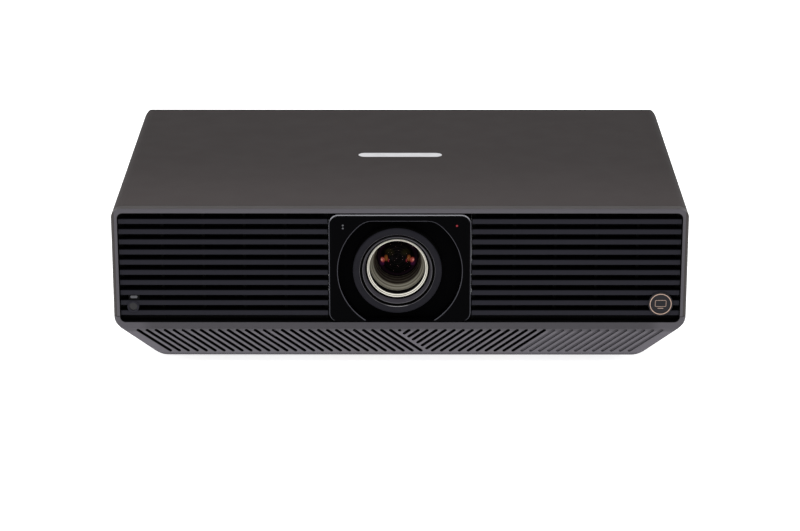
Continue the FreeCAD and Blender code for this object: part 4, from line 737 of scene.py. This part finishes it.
def hood_trough(front, mouth, bore):
    """Black liner of the trough, and the second ring that slopes in from it to the retaining ring."""
    crest = mouth - 2.2 * MM
    back = front + 6.5 * MM
    profile = [(mouth, front + 0.8 * MM), (mouth, back), (crest - 0.4 * MM, back)]
    profile += [(crest - 0.4 * MM, front + 4.5 * MM), (mouth - 0.3 * MM, front + 4.5 * MM)]
    profile += [(mouth - 0.3 * MM, front + 0.9 * MM)]
    lens_piece("trough_liner", profile, 0.05 * MM, "inner_black", "lens", segments=160)
    profile = [(crest, front + 1.5 * MM), (crest, back), (bore, back)]
    profile += [(bore, front + 5.2 * MM), (crest - 0.45 * MM, front + 1.5 * MM)]
    lens_piece("second_ring", profile, 0.05 * MM, "ring_grey", "lens")
    profile = [(crest, front + 1.55 * MM), (crest - 0.12 * MM, front + 1.2 * MM)]
    profile += [(crest - 0.38 * MM, front + 1.2 * MM), (crest - 0.48 * MM, front + 1.55 * MM)]
    lens_piece("second_ring_edge", profile, 0.08 * MM, "edge_grey", "lens")


def retainer():
    """Pale ring whose grooved face slopes in to a short sleeve. Gives its inner radius."""
    low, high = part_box("lens_retainer")
    outer = half_width("lens_retainer")
    inner = outer - RETAINER_WIDTH
    sleeve = high.y + 0.6 * MM
    slope_depth = 2.0 * MM
    half_groove = 0.12 * MM
    profile = [(outer, high.y), (inner + 0.4 * MM, high.y), (inner + 0.4 * MM, sleeve), (inner, sleeve)]
    for groove in (0.32, 0.64):
        radius = inner + RETAINER_WIDTH * groove
        y = low.y + slope_depth * (1 - groove)
        profile += [(radius - half_groove, y + 0.1 * MM), (radius, y + 0.25 * MM)]
        profile += [(radius + half_groove, y - 0.1 * MM)]
    profile += [(outer - 0.35 * MM, low.y), (outer, low.y + 0.3 * MM)]
    made = lens_piece("retaining_ring", profile, 0.08 * MM, "bright_ring", "focus_group")
    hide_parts("lens_retainer")
    return inner


def cell(mouth):
    """Focusing cell: a threaded black mouth, then two olive rings that step down to the inner element."""
    low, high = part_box("focus_cell")
    outer = half_width("focus_cell")
    wall = mouth + 1.2 * MM
    thread_pitch = 0.98
    end = low.y + CELL_MOUTH
    profile = [(outer, low.y), (outer, high.y), (wall, high.y), (wall, end), (mouth - 0.35 * MM, end)]
    for thread in range(8):
        y = end - (0.4 + thread * thread_pitch) * MM
        profile += [(mouth - 0.3 * MM, y), (mouth, y - 0.3 * MM)]
    profile += [(mouth, low.y)]
    made = lens_piece("cell_body", profile, 0.05 * MM, "inner_black", "focus_group", steps=2)
    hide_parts("focus_cell")
    middle = end + 6.5 * MM
    stepped_ring("first_step", "cell_grey", mouth - 0.9 * MM, SHOULDER, end + 0.1 * MM, middle, 3)
    stepped_ring("second_step", "cell_dim", SHOULDER - 0.1 * MM, INNER_RIM, middle + 0.2 * MM,
                 high.y - 0.9 * MM, 7)


def stepped_ring(name, material, wide, narrow, start, end, steps):
    """Ring inside the cell that narrows from wide to narrow, with a front bead and fine steps."""
    back = half_width("focus_cell") - 2.3 * MM
    length = end - start
    profile = [(back, start), (back, end), (narrow, end)]
    for step in range(steps, 0, -1):
        radius = narrow + (wide - 0.25 * MM - narrow) * (1 - step / steps)
        y = start + length * (0.2 + 0.8 * step / steps)
        profile += [(radius, y - 0.1 * MM), (radius + 0.14 * MM, y - 0.3 * MM)]
    profile += [(wide - 0.2 * MM, start + length * 0.22), (wide - 0.35 * MM, start + length * 0.16)]
    profile += [(wide - 0.3 * MM, start + length * 0.04), (wide, start)]
    lens_piece(name, profile, 0.06 * MM, material, "focus_group")


def front_glass():
    """Meniscus with the front face of its node."""
    thickness = 4.5 * MM
    front = arc_profile(42 * MM, half_width("front_element"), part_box("front_element")[0].y)
    back = [(radius, y + thickness) for radius, y in reversed(front)]
    mesh = lathe("front_glass", front + back, AXIS_X, AXIS_Z)
    made = piece("front_glass", mesh, "lens_glass", "focus_group")
    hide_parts("front_element")


def inner_glass():
    """Coated inner element, domed towards the front, at the narrow end of the second ring."""
    rim = INNER_RIM + 0.15 * MM
    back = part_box("focus_cell")[1].y - 0.1 * MM
    apex = back - 6.4 * MM
    dome = arc_profile(25 * MM, rim, apex)
    dome += [(rim, back), (0.0, back)]
    mesh = lathe("second_glass", dome, AXIS_X, AXIS_Z)
    piece("second_glass", mesh, "inner_element", "focus_group")


hood()
cell(retainer() + 0.45 * MM)
front_glass()
inner_glass()


# ---------------------------------------------------------------- badge

def badge_pictogram():
    """A plain screen outline with a foot line, raised on the badge."""
    low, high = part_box("badge_disc")
    centre = ((low.x + high.x) / 2, (low.z + high.z) / 2)
    front = low.y - 0.12 * MM
    outer = rounded_rectangle(8.4 * MM, 5.2 * MM, 0.9 * MM)
    inner = rounded_rectangle(7.8 * MM, 4.6 * MM, 0.6 * MM)
    mesh = band("badge_screen", outer, inner, front, low.y, (centre[0], centre[1] + 0.5 * MM))
    piece("badge_screen", mesh, "rose_ring", "case")
    outer = rounded_rectangle(4.4 * MM, 0.5 * MM, 0.24 * MM)
    inner = rounded_rectangle(3.9 * MM, 0.06 * MM, 0.02 * MM)
    mesh = band("badge_foot", outer, inner, front, low.y, (centre[0], centre[1] - 3.3 * MM))
    piece("badge_foot", mesh, "rose_ring", "case")


badge_pictogram()


# ---------------------------------------------------------------- rear panel

def rear_screws():
    """Six socket-head screws around the edge of the rear panel."""
    low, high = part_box("rear_panel")
    middle = (low.x + high.x) / 2
    face = high.y
    columns = (low.x + 7 * MM, middle, high.x - 7 * MM)
    rows = (low.z + 6 * MM, high.z - 6 * MM)
    profile = [(0.0, face + 0.35 * MM), (1.1 * MM, face + 0.35 * MM), (1.25 * MM, face + 0.95 * MM)]
    profile += [(1.9 * MM, face + 0.95 * MM), (2.5 * MM, face + 0.55 * MM), (2.6 * MM, face)]
    profile += [(0.0, face)]
    places = [(x, z) for x in columns for z in rows]
    for number, (x, z) in enumerate(places, 1):
        mesh = lathe(f"rear_screw_{number}", profile, x, z, 48)
        piece(f"rear_screw_{number}", mesh, "screw_black", "case")


def socket_border():
    """Raised line around the row of sockets."""
    boxes = [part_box(node) for node in ("hdmi_ports", "usb_ports", "lan_port")]
    left = min(low.x for low, high in boxes) - 7 * MM
    right = max(high.x for low, high in boxes) + 7 * MM
    bottom = min(low.z for low, high in boxes) - 6 * MM
    top = max(high.z for low, high in boxes) + 6 * MM
    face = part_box("rear_panel")[1].y
    outer = rounded_rectangle(right - left, top - bottom, 2.4 * MM)
    inner = rounded_rectangle(right - left - 1.2 * MM, top - bottom - 1.2 * MM, 1.8 * MM)
    mesh = band("socket_border", outer, inner, face - 0.1 * MM, face + 0.5 * MM,
                ((left + right) / 2, (bottom + top) / 2))
    piece("socket_border", mesh, "key_grey", "case")


def button_ring():
    """Fine raised ring on the power button."""
    low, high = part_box("power_button")
    face = high.y
    profile = [(1.5 * MM, face - 0.05 * MM), (1.5 * MM, face + 0.15 * MM), (1.6 * MM, face + 0.25 * MM)]
    profile += [(1.85 * MM, face + 0.25 * MM), (1.95 * MM, face + 0.15 * MM), (1.95 * MM, face - 0.05 * MM)]
    mesh = lathe("button_ring", profile, (low.x + high.x) / 2, (low.z + high.z) / 2, 64)
    piece("button_ring", mesh, "silver_inlay", "power_button")


rear_screws()
socket_border()
button_ring()


# ---------------------------------------------------------------- stage

def stage_floor():
    """Pale floor that glows a little, so that it stays white, and is clear from below."""
    build = bmesh.new()
    bmesh.ops.create_grid(build, x_segments=4, y_segments=4, size=FLOOR_SIZE)
    mesh = finish_mesh("floor", build)
    material = new_material("floor", (0.9, 0.9, 0.9), 0.6, Specular_IOR_Level=0.1,
                            Emission_Color=(1, 1, 1, 1), Emission_Strength=0.8)
    tree = material.node_tree
    clear = tree.nodes.new("ShaderNodeBsdfTransparent")
    blend = tree.nodes.new("ShaderNodeMixShader")
    side = tree.nodes.new("ShaderNodeNewGeometry")
    link(material, side.outputs["Backfacing"], blend, 0)
    link(material, shader_of(material).outputs[0], blend, 1)
    link(material, clear.outputs[0], blend, 2)
    link(material, blend.outputs[0], tree.nodes["Material Output"], "Surface")
    mesh.materials.append(material)
    made = bpy.data.objects.new("floor", mesh)
    made.location.z = -FLOOR_DROP
    bpy.context.scene.collection.objects.link(made)


def world():
    """Even white surroundings."""
    made = bpy.data.worlds.new("surroundings")
    made.use_nodes = True
    made.node_tree.nodes["Background"].inputs["Color"].default_value = (1, 1, 1, 1)
    made.node_tree.nodes["Background"].inputs["Strength"].default_value = 1.0
    bpy.context.scene.world = made


def area_light(name, azimuth, elevation, distance, size, power):
    """Soft box aimed at the lens from an azimuth (0 in front, 90 to the right) and an elevation."""
    turn = math.radians(azimuth)
    rise = math.radians(elevation)
    aim = Vector((0, 0, AXIS_Z))
    away = Vector((math.sin(turn) * math.cos(rise), -math.cos(turn) * math.cos(rise), math.sin(rise)))
    light = bpy.data.lights.new(name, "AREA")
    light.shape = "RECTANGLE"
    light.size, light.size_y = size
    light.energy = power
    made = bpy.data.objects.new(name, light)
    made.location = aim + away * distance
    made.rotation_euler = (-away).to_track_quat("-Z", "Y").to_euler()
    made.visible_glossy = False
    bpy.context.scene.collection.objects.link(made)


def camera():
    """Camera at the photograph's viewing angle."""
    made = bpy.data.objects.new("camera", bpy.data.cameras.new("camera"))
    made.data.lens = CAMERA_LENS
    made.data.sensor_width = CAMERA_SENSOR
    made.location = CAMERA_PLACE
    made.rotation_euler = [math.radians(turn) for turn in (90 - CAMERA_DOWN, CAMERA_ROLL, CAMERA_PAN)]
    bpy.context.scene.collection.objects.link(made)
    bpy.context.scene.camera = made


stage_floor()
world()
area_light("key", -10, 50, 0.8, (0.9, 0.4), 5)
camera()
bpy.context.scene.view_settings.view_transform = "Standard"
